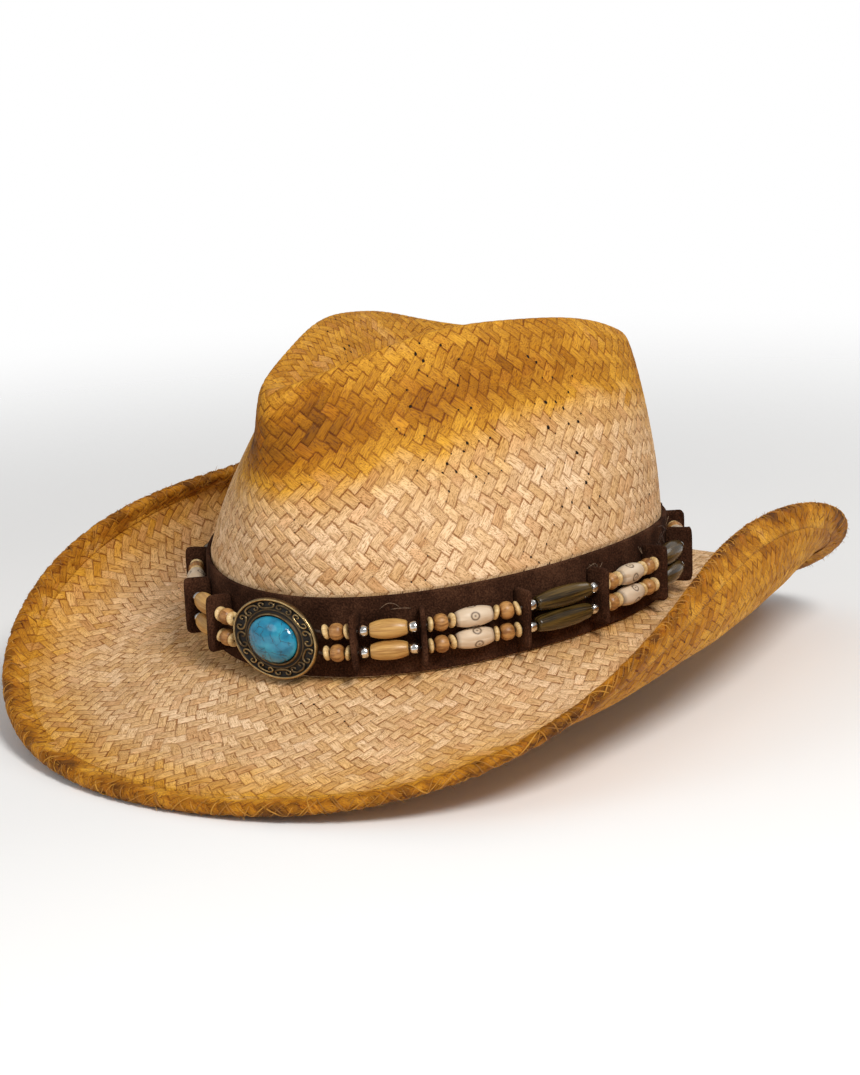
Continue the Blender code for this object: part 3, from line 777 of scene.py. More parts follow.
def turquoise_finish(concho):
    """Polished turquoise: cloudy blue with paler patches and thin dark veins."""

    def fill(nodes):
        place = nodes.object_place()
        sway = nodes.vector("SCALE", nodes.noise(place, 160.0, 3.0, colour=True), scale=0.006)
        bent = nodes.vector("ADD", place, sway)
        cloud = nodes.noise(bent, 190.0, 4.0)
        stops = [(0.22, concho.stone_deep), (0.48, concho.stone), (0.86, concho.stone_pale)]
        colour = nodes.ramp(cloud, stops)
        cells = nodes.add(
            "ShaderNodeTexVoronoi", {"Vector": bent, "Scale": 230.0}, feature="DISTANCE_TO_EDGE"
        ).outputs["Distance"]
        patchy = nodes.noise(place, 210.0, 2.0)
        line = nodes.remap(cells, 0.0, 0.06, 1.0, 0.0)
        vein = nodes.sum("MULTIPLY", line, nodes.remap(patchy, 0.42, 0.56))
        colour = nodes.mix(nodes.sum("MULTIPLY", vein, 0.85), colour, (*concho.vein, 1))
        return {
            "Base Color": colour,
            "Roughness": nodes.remap(cloud, 0.3, 0.7, 0.10, 0.22),
            "Normal": nodes.bump(nodes.sum("MULTIPLY_ADD", vein, -0.4, cloud), 0.00025, 0.35),
        }

    return finish_of("veined_turquoise", fill, Coat_Weight=0.5, Coat_Roughness=0.06)


def cloth_finish(sweatband):
    """Ribbed cotton band: ribs across it, from UV in metres, painted darker between the ribs as shade in the
    grooves.
    """

    def fill(nodes):
        place = nodes.split(nodes.texture_place())
        rib = nodes.sum("SINE", nodes.sum("MULTIPLY", place[0], TAU / 0.0011))
        pick = nodes.sum("SINE", nodes.sum("MULTIPLY", place[1], TAU / 0.0008))
        weave = nodes.sum("MULTIPLY_ADD", pick, 0.35, rib)
        fluff = nodes.noise(nodes.object_place(), 900.0, 3.0)
        woven = nodes.sum("MULTIPLY_ADD", weave, 0.16, 0.25)
        tone = nodes.sum("ADD", woven, nodes.sum("MULTIPLY", fluff, 0.5))
        colour = nodes.ramp(tone, [(0.2, sweatband.dark_tone_and_shade), (0.8, sweatband.colour)])
        return {"Base Color": colour, "Normal": nodes.bump(tone, 0.0003, 0.8)}

    return finish_of("ribbed_cloth", fill, Roughness=0.9, Sheen_Weight=0.2)


def wire_finish():
    """Drawn spring wire: dull grey with faint rust."""

    def fill(nodes):
        place = nodes.object_place()
        mottle = nodes.use(mottle_group(), Place=place, Cloud_Scale=260.0, Nap_Scale=2200.0)
        rusty = [(0.3, (0.20, 0.13, 0.09)), (0.55, (0.42, 0.41, 0.40))]
        return {
            "Base Color": nodes.ramp(mottle["Cloud"], rusty),
            "Roughness": nodes.remap(mottle["Nap"], 0.35, 0.65, 0.32, 0.50),
            "Normal": nodes.bump(mottle["Nap"], 0.00005, 0.5),
        }

    return finish_of("drawn_wire", fill, Metallic=1.0)


def refinish(node, finish):
    """Gives a kept node its finish in every slot."""
    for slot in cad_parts[node].material_slots:
        slot.material = finish


def thread_finish(name, colour, dark):
    """Twisted thread or waxed cord between two colours."""

    def fill(nodes):
        twist = nodes.noise(nodes.object_place(), 1400.0, 2.0)
        tone = nodes.ramp(twist, [(0.35, dark), (0.65, colour)])
        return {"Base Color": tone, "Normal": nodes.bump(twist, 0.0001, 0.6)}

    return finish_of(name, fill, Roughness=0.7)


# ---------------------------------------------------------------- plaited straw


def ring_counts(grid, climb, pitch, places_seed, shrinking):
    """Where strips start or end so that their width stays even: (angle, climb) each, one for every whole
    strip by which a row's girth over the pitch has changed. Turns of 137.5 degrees scatter them."""
    step = np.linalg.norm(np.roll(grid, -1, axis=1) - grid, axis=-1).sum(axis=1)
    count = step / pitch
    draw = shuffled(places_seed)
    if shrinking:
        falling = np.minimum.accumulate(count)
        wanted = np.arange(round(falling[0]) - 0.5, falling[-1], -1)
        height = np.interp(-wanted, -falling, climb)
    else:
        rising = np.maximum.accumulate(count[::-1])
        wanted = np.arange(round(rising[0]) + 0.5, rising[-1], 1)
        height = np.interp(wanted, rising, climb[::-1])
    turn = np.arange(len(wanted)) * SCATTER_TURN + draw.uniform(-0.5, 0.5, len(wanted))
    return np.stack([turn % TAU, height], -1)


def strips_passed(around, climb, first, places, shrinking):
    """Whole strips passed going round: first * angle / 2 pi, and for each place where a strip starts or
    ends, the argument of sin(z / 2), z the complex way from it, which winds once about that place."""
    total = first * around / TAU
    side = -1 if shrinking else 1
    for turn, height in places:
        x = (around - turn) % TAU
        total = total + (np.angle(np.sin((x + 1j * (climb - height)) / 2)) + side * x / 2) / TAU
    return total


def strip_height(p, q):
    """0 where a strip dives under its neighbour to 1 in the middle of its visible run: crowned across
    it, 1 - (2 across - 1)^4 / 4, and dipping at both ends of its two counts of run."""
    i, j = np.floor(p), np.floor(q)
    over = (i - j) % 4 < 2
    across = np.where(over, p - i, q - j)
    along = np.where(over, (q - i + 1) % 4, (p - j - 2) % 4)
    crowned = 1 - 0.25 * np.abs(2 * across - 1) ** 4
    return crowned * smooth_step(np.minimum(along, 2 - along), -0.15, 0.45)


class Weave:
    """A sheet of plait on a grid of rows round the hat: strip counts p and q, and how far the top strip
    stands up."""

    def __init__(self, grid, along, pitch, first, seed, shrinking):
        self.pitch = pitch
        step = np.linalg.norm(np.roll(grid, -1, axis=1) - grid, axis=-1)
        girth = np.maximum(step.sum(axis=1, keepdims=True), 1e-6)
        around = (np.cumsum(step, axis=1) - step) / girth * TAU
        radius = np.maximum(girth[:, 0] / TAU, 2e-4)
        rise = np.diff(along) / (radius[1:] + radius[:-1]) * 2
        climb = np.concatenate([[0], np.cumsum(rise)])
        climb -= climb[0 if shrinking else -1]
        places = ring_counts(grid, climb, pitch, seed, shrinking)
        passed = strips_passed(around, climb[:, None], first, places, shrinking)
        slow = [0.10 * wavy_noise(grid, 0.030, seed + k) for k in (1, 2)]
        quick = [0.045 * wavy_noise(grid, 0.011, seed + 9 + k) for k in (1, 2)]
        self.p = passed + along[:, None] / pitch + (slow[0] + quick[0])
        self.q = passed - along[:, None] / pitch + (slow[1] + quick[1])
        ahead = unit(np.roll(grid, -1, axis=1) - np.roll(grid, 1, axis=1))
        upward = unit(np.gradient(grid, axis=0))
        self.strip_a = (ahead + upward) * pitch / 2
        self.strip_b = (ahead - upward) * pitch / 2

    def height(self, turned_over=False):
        """strip_height over the whole sheet, or over its other side."""
        return strip_height(self.p + (2 if turned_over else 0), self.q)


def shell_sector(columns, outer, inner, closed_top):
    """(points, quads, triangles) of one closed sector of two matching grids, outer and inner, over the
    given columns. closed_top makes the last row one point on each side."""
    outer, inner = outer[:, columns], inner[:, columns]
    rows, width = outer.shape[:2]
    full = rows - 1 if closed_top else rows
    points = np.concatenate([outer[:full].reshape(-1, 3), inner[:full].reshape(-1, 3)])
    base = full * width
    row, column = np.arange(full - 1)[:, None], np.arange(width - 1)[None, :]
    a = row * width + column
    face = np.stack([a, a + 1, a + width + 1, a + width], -1).reshape(-1, 4)
    column = np.arange(width - 1)
    foot = np.stack([column + 1, column, column + base, column + 1 + base], -1)
    row = np.arange(full - 1) * width
    left = np.stack([row, row + width, row + width + base, row + base], -1)
    right = left[:, ::-1] + width - 1
    quads = [face, face[:, ::-1] + base, foot, left, right]
    triangles = None
    last = (full - 1) * width
    if closed_top:
        tip_out, tip_in = len(points), len(points) + 1
        points = np.concatenate([points, outer[-1:, :].mean(axis=1), inner[-1:, :].mean(axis=1)])
        top = last + column
        triangles = np.concatenate(
            [
                np.stack([top, top + 1, 0 * top + tip_out], -1),
                np.stack([top + 1 + base, top + base, 0 * top + tip_in], -1),
            ]
        )
        quads.append(np.array([[last, tip_out, tip_in, last + base]]))
        far = last + width - 1
        quads.append(np.array([[far + base, tip_in, tip_out, far]]))
    else:
        quads.append(np.stack([column, column + 1, column + 1 + base, column + base], -1) + last)
    return points, np.concatenate(quads), triangles


def on_sector(columns, outer, inner, closed_top):
    """Values of matching grids laid out as shell_sector lays out its points."""
    outer, inner = outer[:, columns], inner[:, columns]
    tail = outer.shape[2:]
    if not closed_top:
        return np.concatenate([outer.reshape(-1, *tail), inner.reshape(-1, *tail)])
    laid = [outer[:-1].reshape(-1, *tail), inner[:-1].reshape(-1, *tail)]
    return np.concatenate([*laid, outer[-1:, 0], inner[-1:, 0]])


def corner_texture(counts, faces):
    """Strip counts at face corners, shifted by whole strips to agree with the face's first corner."""
    pairs = counts[faces]
    pairs = pairs - np.round(pairs - pairs[:, :1])
    shift = 4 * np.floor(pairs[:, :1] / 4)
    even = shift[..., :1]
    return (pairs - even).reshape(-1, 2)


def plaited_pieces(name, sectors, outer, inner, weave, fields_outer, fields_inner, closed_top, finish):
    """Closed sectors of plait between two grids, each a piece of its own."""
    total = outer.shape[1]
    facing, facing_in = grid_normals(outer), -grid_normals(inner)
    counts_out = np.stack([weave.p, weave.q], -1)
    counts_in = counts_out + (2, 0)
    made = []
    bounds = np.linspace(0, total, sectors + 1).astype(int)
    for number, (start, end) in enumerate(zip(bounds, bounds[1:]), 1):
        columns = np.arange(start, end + 1) % total
        points, quads, triangles = shell_sector(columns, outer, inner, closed_top)
        counts = on_sector(columns, counts_out, counts_in, closed_top)
        fields = {
            field: on_sector(columns, fields_outer[field], fields_inner[field], closed_top)
            for field in fields_outer
        }
        fields["strip_a"] = on_sector(columns, weave.strip_a, weave.strip_a, closed_top)
        fields["strip_b"] = on_sector(columns, weave.strip_b, weave.strip_b, closed_top)
        faces = [quads] if triangles is None else [quads, triangles]
        texture = np.concatenate([corner_texture(counts, block) for block in faces])
        normals = on_sector(columns, facing, facing_in, closed_top)
        made.append(
            make_piece(
                f"{name}_{number}", points, faces, finish, RECORD_BODY, texture, fields, normals
            )
        )
    return made


def brim_pieces(straw, finish):
    """Top and underside of the brim, woven, from under the folded edge to the foot of the crown."""
    columns = round(BRIM_ROUND / straw.mesh_size)
    angle = np.linspace(-math.pi, math.pi, columns, endpoint=False)
    width = waves(angle, (BRIM_WIDTH, BRIM_FRONT_REACH))
    edge = edge_depth()
    rows = round((BRIM_WIDTH - edge) / straw.mesh_size)
    share = np.linspace(0, 1, rows)
    sections = [brim(angle, edge + (width - edge) * part) for part in share]
    flat = np.array([point for point, _ in sections])
    square = np.array([square_to(angle, slope) for _, slope in sections])
    along = (share - 1) * (BRIM_WIDTH - edge)
    pitch = straw.strip_width * math.sqrt(2)
    first = round(np.linalg.norm(np.roll(flat[-1], -1, axis=0) - flat[-1], axis=-1).sum() / pitch)
    weave = Weave(flat, along, pitch, first, 11, shrinking=False)
    held = smooth_step(-along, 0.0, 0.004) * smooth_step(BRIM_WIDTH - edge + along, 0.004, 0.008)
    rise = held[:, None] * straw.relief
    buckle = 0.00035 * wavy_noise(flat, 0.05, 21) * held[:, None]
    outer = flat + square * (rise * (weave.height() - 0.6) + buckle)[..., None]
    inner = flat - square * (STRAW + rise * (weave.height(turned_over=True) - 0.6) - buckle)[..., None]
    foot, outward = oval(angle)
    inner[-1] = foot - outward * STRAW - UP * STRAW
    out = 1 - share[:, None] + 0 * angle
    side = np.abs(np.sin(angle))
    patch = 0.05 * wavy_noise(flat, 0.09, 5)
    # Darker towards the edge, where the spray lies, and darker in a narrow ring at the brim's foot beside the
    # band.
    top = (
        0.05
        + 0.16 * np.exp(-((out / 0.10) ** 2))
        + 0.40 * smooth_step(out, 0.58 - 0.12 * side, 0.95)
        + 0.20 * smooth_step(out, 0.90, 1.0)
        + patch
    )
    under = 0.52 + 0.20 * smooth_step(out, 0.6, 0.95) + patch
    opened = 0.55 * smooth_step(wavy_noise(flat, 0.06, 7), 0.3, 1.2)
    fields_top = {"spray_and_shade": top, "open": opened}
    fields_under = {"spray_and_shade": under, "open": opened}
    made = plaited_pieces("straw_brim", 4, outer, inner, weave, fields_top, fields_under, False, finish)
    return made, weave


def crown_pieces(straw, finish):
    """The crown, woven, from the foot to the middle of the top."""
    columns = round(CROWN_ROUND / straw.mesh_size)
    angle = np.linspace(-math.pi, math.pi, columns, endpoint=False)
    control = crown_control(angle)
    trial = smooth_curve(control, np.linspace(0, 1, 400))
    length = np.concatenate([[0], np.cumsum(np.linalg.norm(np.diff(trial, axis=0), axis=-1).mean(axis=1))])
    rows = round(length[-1] / straw.mesh_size)
    wanted = np.linspace(0, length[-1], rows)
    upper = smooth_curve(control, np.interp(wanted, length, np.linspace(0, 1, 400)))
    foot, outward = oval(angle)
    straight = BAND_HEIGHT + 2 * BAND_FOOT
    lower_steps = np.linspace(0, 1, 15)[:-1]
    lower = foot + UP * (lower_steps * straight)[:, None, None]
    flat = np.concatenate([lower, upper])
    along = np.concatenate([lower_steps * straight, straight + wanted])
    pitch = straw.strip_width * math.sqrt(2)
    first = round(np.linalg.norm(np.roll(foot, -1, axis=0) - foot, axis=-1).sum() / pitch)
    weave = Weave(flat, along, pitch, first, 31, shrinking=True)
    square = grid_normals(flat)
    square[: len(lower)] = outward
    square[-1] = UP
    held = smooth_step(along, straight - 0.0015, straight + 0.0015)
    closing = smooth_step(along[-1] - along, 0.0, 0.004)
    rise = (held * closing)[:, None] * straw.relief
    buckle = 0.0005 * wavy_noise(flat, 0.045, 22) * (held * closing)[:, None]
    outer = flat + square * (rise * (weave.height() - 0.55) + buckle)[..., None]
    inner = flat - square * (STRAW + rise * (weave.height(turned_over=True) - 0.6) - buckle)[..., None]
    inner[0] = foot - outward * STRAW - UP * STRAW
    around = np.degrees(np.abs((angle + math.pi) % TAU - math.pi))
    crest = flat[..., 2].argmax(axis=0)
    knee = foot[:, 2] + straight
    climbed = (flat[..., 2] - knee) / (flat[..., 2].max(axis=0) - knee)
    on_top = np.arange(len(flat))[:, None] > crest
    up = np.where(on_top, 1.0, np.clip(climbed, 0, 1))
    inside = np.where(on_top, along[:, None] - along[crest], 0)
    low = 0.22 + 0.17 * smooth_step(around, 35, 95)
    front = 0.58 + 0.42 * smooth_step(-around, -48, -22)
    patch = 0.05 * wavy_noise(flat, 0.08, 6)
    # Darker up the crown with the spray, and a dark band just under the rim, strongest at the front, running
    # on over the rim into the dent: partly brown spray, partly painted shade of the dent's rim.
    outer_spray_and_shade = (
        0.02
        + 0.50 * smooth_step((up - low) / 0.46, 0, 1)
        + 0.34 * front * np.exp(-(((up - 0.76) / 0.20) ** 2)) * (up < 1)
        + 0.34 * front * np.exp(-(((1 - 0.76) / 0.20) ** 2)) * np.exp(-inside / 0.01) * (up >= 1)
        - 0.06 * smooth_step(inside, 0.004, 0.03)
        + patch
    )
    inner_burnish = 0.34 + patch
    opened = (0.35 + 0.65 * smooth_step(around, 25, 70)) * smooth_step(wavy_noise(flat, 0.05, 8), -0.9, 0.7)
    fields_out = {"spray_and_shade": outer_spray_and_shade, "open": opened}
    fields_in = {"spray_and_shade": inner_burnish, "open": opened * 0.6}
    return plaited_pieces("straw_crown", 4, outer, inner, weave, fields_out, fields_in, True, finish)


# ---------------------------------------------------------------- folded edge


def edge_profile(straw):
    """(inset, out, up, way) of the fold's outside: in from the lap over the top, round the wire and back
    underneath. `way` is the distance along it."""
    step = straw.mesh_size
    lap = np.linspace(BINDING_LAP, 0, round(BINDING_LAP / step))
    thin = 0.04 + 0.96 * smooth_step(BINDING_LAP - lap, 0.0, 0.0065)
    bend = np.linspace(math.pi / 2, -math.pi / 2, 12)[1:-1]
    inset = np.concatenate([lap, 0 * bend, lap[::-1]])
    out = np.concatenate([0 * lap, edge_depth() * np.cos(bend), 0 * lap])
    top = GAP + BINDING_WALL * thin
    up = np.concatenate([top, -STRAW / 2 + NOSE * np.sin(bend), -STRAW - top[::-1]])
    flat = np.stack([out - inset, up], -1)
    way = np.concatenate([[0], np.cumsum(np.linalg.norm(np.diff(flat, axis=0), axis=1))])
    return inset, out, up, way


def edge_ring(angle, inset, out, up):
    """A ring round the brim, `inset` inside the straw's edge, then out along the brim and up from it."""
    point, slope = brim(angle, edge_depth() + inset)
    along = oval(angle)[1] * np.cos(slope)[:, None] + UP * np.sin(slope)[:, None]
    return point + along * out + square_to(angle, slope) * up


def edge_piece(straw, weave, finish):
    """The brim's edge, folded over its wire, woven on from the brim's weave."""
    columns = weave.p.shape[1]
    angle = np.linspace(-math.pi, math.pi, columns, endpoint=False)
    inset, out, up, way = edge_profile(straw)
    outside = np.array([edge_ring(angle, *row) for row in zip(inset, out, up)])
    fold = 2 * GAP + WIRE_DIAMETER
    base = -STRAW - GAP
    under = [(BINDING_LAP, 0, base), (0, 0, base), (0, fold, base)]
    lining = under + [(inset_in, out_in, GAP) for inset_in, out_in, _ in reversed(under)]
    inside = np.array([edge_ring(angle, *row) for row in lining])
    pitch = straw.strip_width * math.sqrt(2)
    lapped = np.clip((inset / straw.mesh_size).round().astype(int), 0, len(weave.p) - 1)
    turned_down = way[np.argmax(inset == 0)]
    mean = (weave.p + weave.q)[lapped] / 2
    mean[way > turned_down] = mean[np.argmax(inset == 0)]
    half = (weave.p - weave.q)[0] / 2 + (turned_down - way[:, None]) / pitch
    p, q = mean + half, mean - half
    rough = wavy_noise(outside, 0.0045, 45)
    round_it = np.roll(outside, -1, axis=1) - np.roll(outside, 1, axis=1)
    facing = -unit(np.cross(round_it, np.gradient(outside, axis=0)))
    height = strip_height(p, q)
    ends = smooth_step(np.minimum(way, way[-1] - way), 0.0, 0.0015)[:, None]
    outside = outside + facing * (ends * (straw.relief * (height - 0.6) + 0.00022 * rough))[..., None]
    grid = np.concatenate([outside, inside])
    rows = len(grid)
    faces = ring_faces(rows, columns, closed_rows=True)
    counts = np.stack([p, q], -1)
    counts = np.concatenate([counts, np.broadcast_to(counts[-1:], (len(lining), columns, 2))]).reshape(-1, 2)
    to_fold = np.abs(way / way[-1] - 0.5) * 2
    patch = 0.10 * wavy_noise(outside, 0.03, 46) + 0.06 * wavy_noise(outside, 0.008, 47)
    under = smooth_step(way, way[-1] * 0.5, way[-1] * 0.6)
    spray_and_shade = (0.56 + 0.24 * smooth_step(-to_fold, -0.8, -0.1) + 0.10 * under)[:, None] + patch
    spray_and_shade = np.concatenate([spray_and_shade, np.broadcast_to(spray_and_shade[-1:], (len(lining), columns))]).ravel()
    ahead = unit(np.roll(grid, -1, axis=1) - np.roll(grid, 1, axis=1))
    upward = -unit(np.gradient(grid, axis=0))
    fields = {
        "spray_and_shade": spray_and_shade,
        "open": 0 * spray_and_shade,
        "strip_a": ((ahead + upward) * pitch / 2).reshape(-1, 3),
        "strip_b": ((ahead - upward) * pitch / 2).reshape(-1, 3),
    }
    faces = faces[:, ::-1]
    texture = corner_texture(counts, faces)
    edge = make_piece(
        "brim_edge", grid.reshape(-1, 3), [faces], finish, RECORD_BODY, texture, fields
    )
    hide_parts("edge_binding")
    return edge


def loose_fibres(name, starts, headings, lengths, bend, width, finish, slot="straw_braid"):
    """Thin tapering fibres, each a square section carried along a bending path of five points."""
    count, stations = len(starts), 5
    t = np.linspace(0, 1, stations)[None, :, None]
    path = starts[:, None] + headings[:, None] * (t * lengths[:, None, None]) + bend[:, None] * t**2
    along = unit(np.gradient(path, axis=1))
    side = unit(np.cross(along, UP + 0.3 * unit(bend)[:, None]))
    rise = np.cross(side, along)
    half = width[:, None, None] / 2 * (1 - 0.75 * t)
    corners = [side * half, rise * half * 0.45, -side * half, -rise * half * 0.45]
    points = np.stack([path + corner for corner in corners], 2).reshape(-1, 3)
    one = ring_faces(stations, 4)[:, ::-1]
    last = (stations - 1) * 4
    one = np.concatenate([one, [[0, 1, 2, 3], [last + 3, last + 2, last + 1, last]]])
    faces = (one[None] + (np.arange(count) * stations * 4)[:, None, None]).reshape(-1, 4)
    fields = {"tone": np.repeat(shuffled(5).uniform(0, 1, count), stations * 4)}
    return make_piece(name, points, [faces], finish, RECORD_BODY, None, fields)


def fibre_finish(straw):
    """Loose fibres, each of its own tone between natural and brown."""

    def fill(nodes):
        tone = nodes.field("tone")
        streak = nodes.noise(nodes.object_place(), 700.0, 2.0)
        mixed = nodes.sum("ADD", nodes.sum("MULTIPLY", tone, 0.7), nodes.sum("MULTIPLY", streak, 0.3))
        dark = [(0.1, straw.brown), (0.45, straw.amber)]
        light = [(0.8, straw.golden), (1.0, straw.natural_warm)]
        return {"Base Color": nodes.ramp(mixed, dark + light)}

    return finish_of("loose_fibre", fill, Roughness=0.6)


def edge_fibres(straw, finish):
    """Fibres that have come loose along the brim's edge."""
    draw = shuffled(71)
    count = straw.loose_fibres
    angle = draw.uniform(-math.pi, math.pi, count)
    where = draw.uniform(-1.25, 1.25, count)
    point, slope = brim(angle, np.full(count, edge_depth()))
    outward = oval(angle)[1]
    along = outward * np.cos(slope)[:, None] + UP * np.sin(slope)[:, None]
    square = square_to(angle, slope)
    start = point + along * (edge_depth() * 0.96 * np.cos(where))[:, None]
    start = start + square * (-STRAW / 2 + NOSE * 0.96 * np.sin(where))[:, None]
    normal = along * np.cos(where)[:, None] + square * np.sin(where)[:, None]
    ahead = np.cross(UP, outward)
    lay = draw.uniform(-1, 1, count)[:, None]
    lift = draw.uniform(0.08, 0.55, count)[:, None]
    tip = draw.normal(0, 0.4, count)[:, None]
    heading = unit(normal * lift + ahead * np.sign(lay) + square * tip)
    length = draw.uniform(0.0008, 0.0030, count)
    bend = (normal * draw.uniform(-0.5, 0.3, count)[:, None] - ahead * lay * 0.3) * length[:, None] * 0.6
    width = draw.uniform(0.00018, 0.00038, count)
    return loose_fibres("edge_fibres", start, heading, length, bend, width, finish)


def edge_stitches(straw, finish):
    """Overcast stitches of thin straw round the folded edge, each slanting from top to underside."""
    heap = Heap()
    draw = shuffled(72)
    count = straw.stitches
    for k in range(count):
        centre = TAU * (k + draw.uniform(-0.5, 0.5)) / count - math.pi
        slant = 0.030 * draw.choice([-1, 1]) * draw.uniform(0.3, 1.0)
        share = np.linspace(-1, 1, 9)
        angle = centre + slant * share
        where = share * draw.uniform(1.1, 2.0) + draw.uniform(-0.3, 0.3)
        inset = np.clip(np.abs(where) - math.pi / 2, 0, 1) * 0.008
        turn = np.clip(where, -math.pi / 2, math.pi / 2)
        point, slope = brim(angle, edge_depth() + inset)
        along = oval(angle)[1] * np.cos(slope)[:, None] + UP * np.sin(slope)[:, None]
        lift = 0.00020 * (1 - 2.2 * share**6)
        path = point + along * ((edge_depth() + lift) * np.cos(turn))[:, None]
        path = path + square_to(angle, slope) * (-STRAW / 2 + (NOSE + lift) * np.sin(turn))[:, None]
        points, faces, _ = tube(path, draw.uniform(0.00016, 0.00034), 4, up=oval(np.array(centre))[1])
        heap.add(points, faces, tone=draw.uniform(0.1, 0.6))
    return heap.piece("edge_stitches", finish, slot="straw_braid")


# ---------------------------------------------------------------- bands


def band_strip(name, inner_growth, foot, height, thickness, finish, slot, round_edge, seam_angle):
    """A band round the crown: its section is a slim rounded rectangle, carried round the oval."""
    columns = 720
    angle = np.linspace(-math.pi, math.pi, columns, endpoint=False)
    corner = []
    for x, z, first in ((1, 0, -0.25), (1, 1, 0.0), (0, 1, 0.25), (0, 0, 0.5)):
        bend = (first + np.linspace(0, 0.25, 5)) * TAU
        corner.append(
            np.stack(
                [
                    x * thickness + (1 - 2 * x) * round_edge + round_edge * np.cos(bend),
                    z * height + (1 - 2 * z) * round_edge + round_edge * np.sin(bend),
                ],
                -1,
            )
        )
    side = np.linspace(0, 1, 16)[1:-1]
    rising = np.stack([np.full(14, thickness), round_edge + side * (height - 2 * round_edge)], -1)
    falling = np.stack([np.zeros(14), height - round_edge - side * (height - 2 * round_edge)], -1)
    profile = np.concatenate([corner[0], rising, corner[1], corner[2], falling, corner[3]])
    foot_point, outward = oval(angle)
    rows = []
    for across, up in profile:
        rows.append(foot_point + outward * (inner_growth + across) + UP * (foot + up))
    grid = np.array(rows)
    nap = 0.00012 * wavy_noise(grid, 0.02, 81) * (profile[:, :1] > thickness / 2)
    way = np.arctan2(np.sin(angle - seam_angle), np.cos(angle - seam_angle)) * HEAD_WIDTH / 2
    overlap = 0.0004 * (smooth_step(way, -0.0007, 0.0007) - smooth_step(way, 0.004, 0.022))
    stands = np.clip(nap, -0.0001, 0.0004) + overlap * (profile[:, :1] > thickness / 2)
    grid = grid + outward * stands[..., None]
    around = np.linalg.norm(np.roll(foot_point, -1, axis=0) - foot_point, axis=-1).sum()
    along = np.concatenate([[0], np.cumsum(np.linalg.norm(np.diff(profile, axis=0), axis=1))])
    faces = ring_faces(len(profile), columns, closed_rows=True)
    texture = ring_texture(len(profile), columns, around, along, closed_rows=True)
    return make_piece(name, grid.reshape(-1, 3), [faces], finish, RECORD_BODY, texture)


def girth(growth):
    """Length round the head oval, grown by `growth`."""
    ring = oval(np.linspace(0, TAU, 721), growth)[0]
    return float(np.linalg.norm(np.diff(ring, axis=0), axis=1).sum())


def oval_line(standoff):
    """Points round the hat at the strands' mid height, their outward directions, and how far each lies
    along the line from the concho's middle."""
    angle = np.linspace(-math.pi, math.pi, OVAL_SAMPLES + 1)
    point, outward = oval(angle, GAP + BAND_THICKNESS + standoff)
    point = point + UP * (BAND_FOOT + BAND_HEIGHT / 2)
    step = np.linalg.norm(np.diff(point, axis=0), axis=1)
    length = np.concatenate([[0], np.cumsum(step)])
    whole = length[-1]
    length = (length - np.interp(0, angle, length) - TRIM_TURN + whole / 2) % whole - whole / 2
    order = np.argsort(length[:-1])
    return point[order], outward[order], length[order]


def on_band(way, standoff):
    """(point, outward) at `way` along the band from the concho's middle."""
    point, outward, length = oval_line(standoff)
    index = int(np.abs(length - way).argmin())
    return point[index], outward[index]


def barrel_radius():
    """Half the thickness of the fattest bead."""
    return max(diameter for _, diameter in BEADS.values()) / 2


def end_gap(group):
    """From a group's first bead to the tile or concho beside it."""
    return TILE_GAP if group[0] == "disc" else BEAD_GAP


def group_length(group):
    """Length of a group's beads, with the gaps between them and at both ends."""
    return sum(BEADS[bead][0] for bead in group) + BEAD_GAP * (len(group) - 1) + 2 * end_gap(group)


def stops(side, standoff):
    """Where the cords bend on one side, as (point, outward): the concho's edge, and each tile."""
    point, outward, length = oval_line(standoff)
    if side < 0:
        point, outward, length = point[::-1], outward[::-1], -length[::-1]
    place = int(np.searchsorted(length, CONCHO_WIDTH / 2 + CONCHO_CLEARANCE))
    found = [place]
    for group in (CONCHO_GROUP, *GROUPS):
        ends = TILE_THICKNESS / 2 if group is CONCHO_GROUP else TILE_THICKNESS
        away = np.linalg.norm(point[place:] - point[place], axis=1)
        place += int(np.argmax(away >= group_length(group) + ends))
        found.append(place)
    return [(point[index], outward[index]) for index in found]


def strand_standoff():
    """From the band to the cords' bends, so that the middle of each straight run clears the band."""
    bends = stops(1, barrel_radius())
    sag = 0.0
    for (start, first), (end, last) in zip(bends, bends[1:]):
        turn = math.acos(min(1.0, float(first @ last)))
        sag = max(sag, math.dist(start, end) / 2 * math.tan(turn / 4))
    return barrel_radius() + BAND_CLEARANCE + sag


def sent_to(points, point, along, outward):
    """Local points with Z along the cord and X out from the hat, moved to `point`."""
    return point + points @ np.array([outward, np.cross(along, outward), along])


def tile_shape(depth, height, thickness, inner, seed):
    """(points, quads, triangles) of a suede tile: a superellipse swept across its thickness, with soft
    edges, a slight bow and an uneven cut."""
    turn = np.linspace(0, TAU, 56, endpoint=False)
    x = depth / 2 * np.sign(np.cos(turn)) * np.abs(np.cos(turn)) ** TILE_SQUARENESS
    y = height / 2 * np.sign(np.sin(turn)) * np.abs(np.sin(turn)) ** TILE_SQUARENESS
    draw = shuffled(seed)
    bow = draw.uniform(-0.0007, 0.0007)
    twist = draw.uniform(-0.0006, 0.0006)
    face, soft, side = (0.325 * depth, 0.002), (0.00024, 0.00024), (0, 0)
    layers = ((-0.5, face), (-0.5, soft), (-0.36, side), (0.36, side), (0.5, soft), (0.5, face))
    rows = []
    for level, (inset_x, inset_y) in layers:
        px, py = x * (1 - 2 * inset_x / depth), y * (1 - 2 * inset_y / height)
        up, out = 2 * py / height, 2 * px / depth
        z = level * thickness + bow * (1 - up**2) + twist * up * out
        rows.append(np.stack([px + depth / 2 - inner, py, z], -1))
    grid = np.array(rows)
    coarse = 0.010 * np.sin(turn * 5 + draw.uniform(0, TAU))
    fine = 0.008 * np.sin(turn * 9 + draw.uniform(0, TAU))
    grid[..., 1] *= 1 + coarse + fine
    return closed_stack(grid)


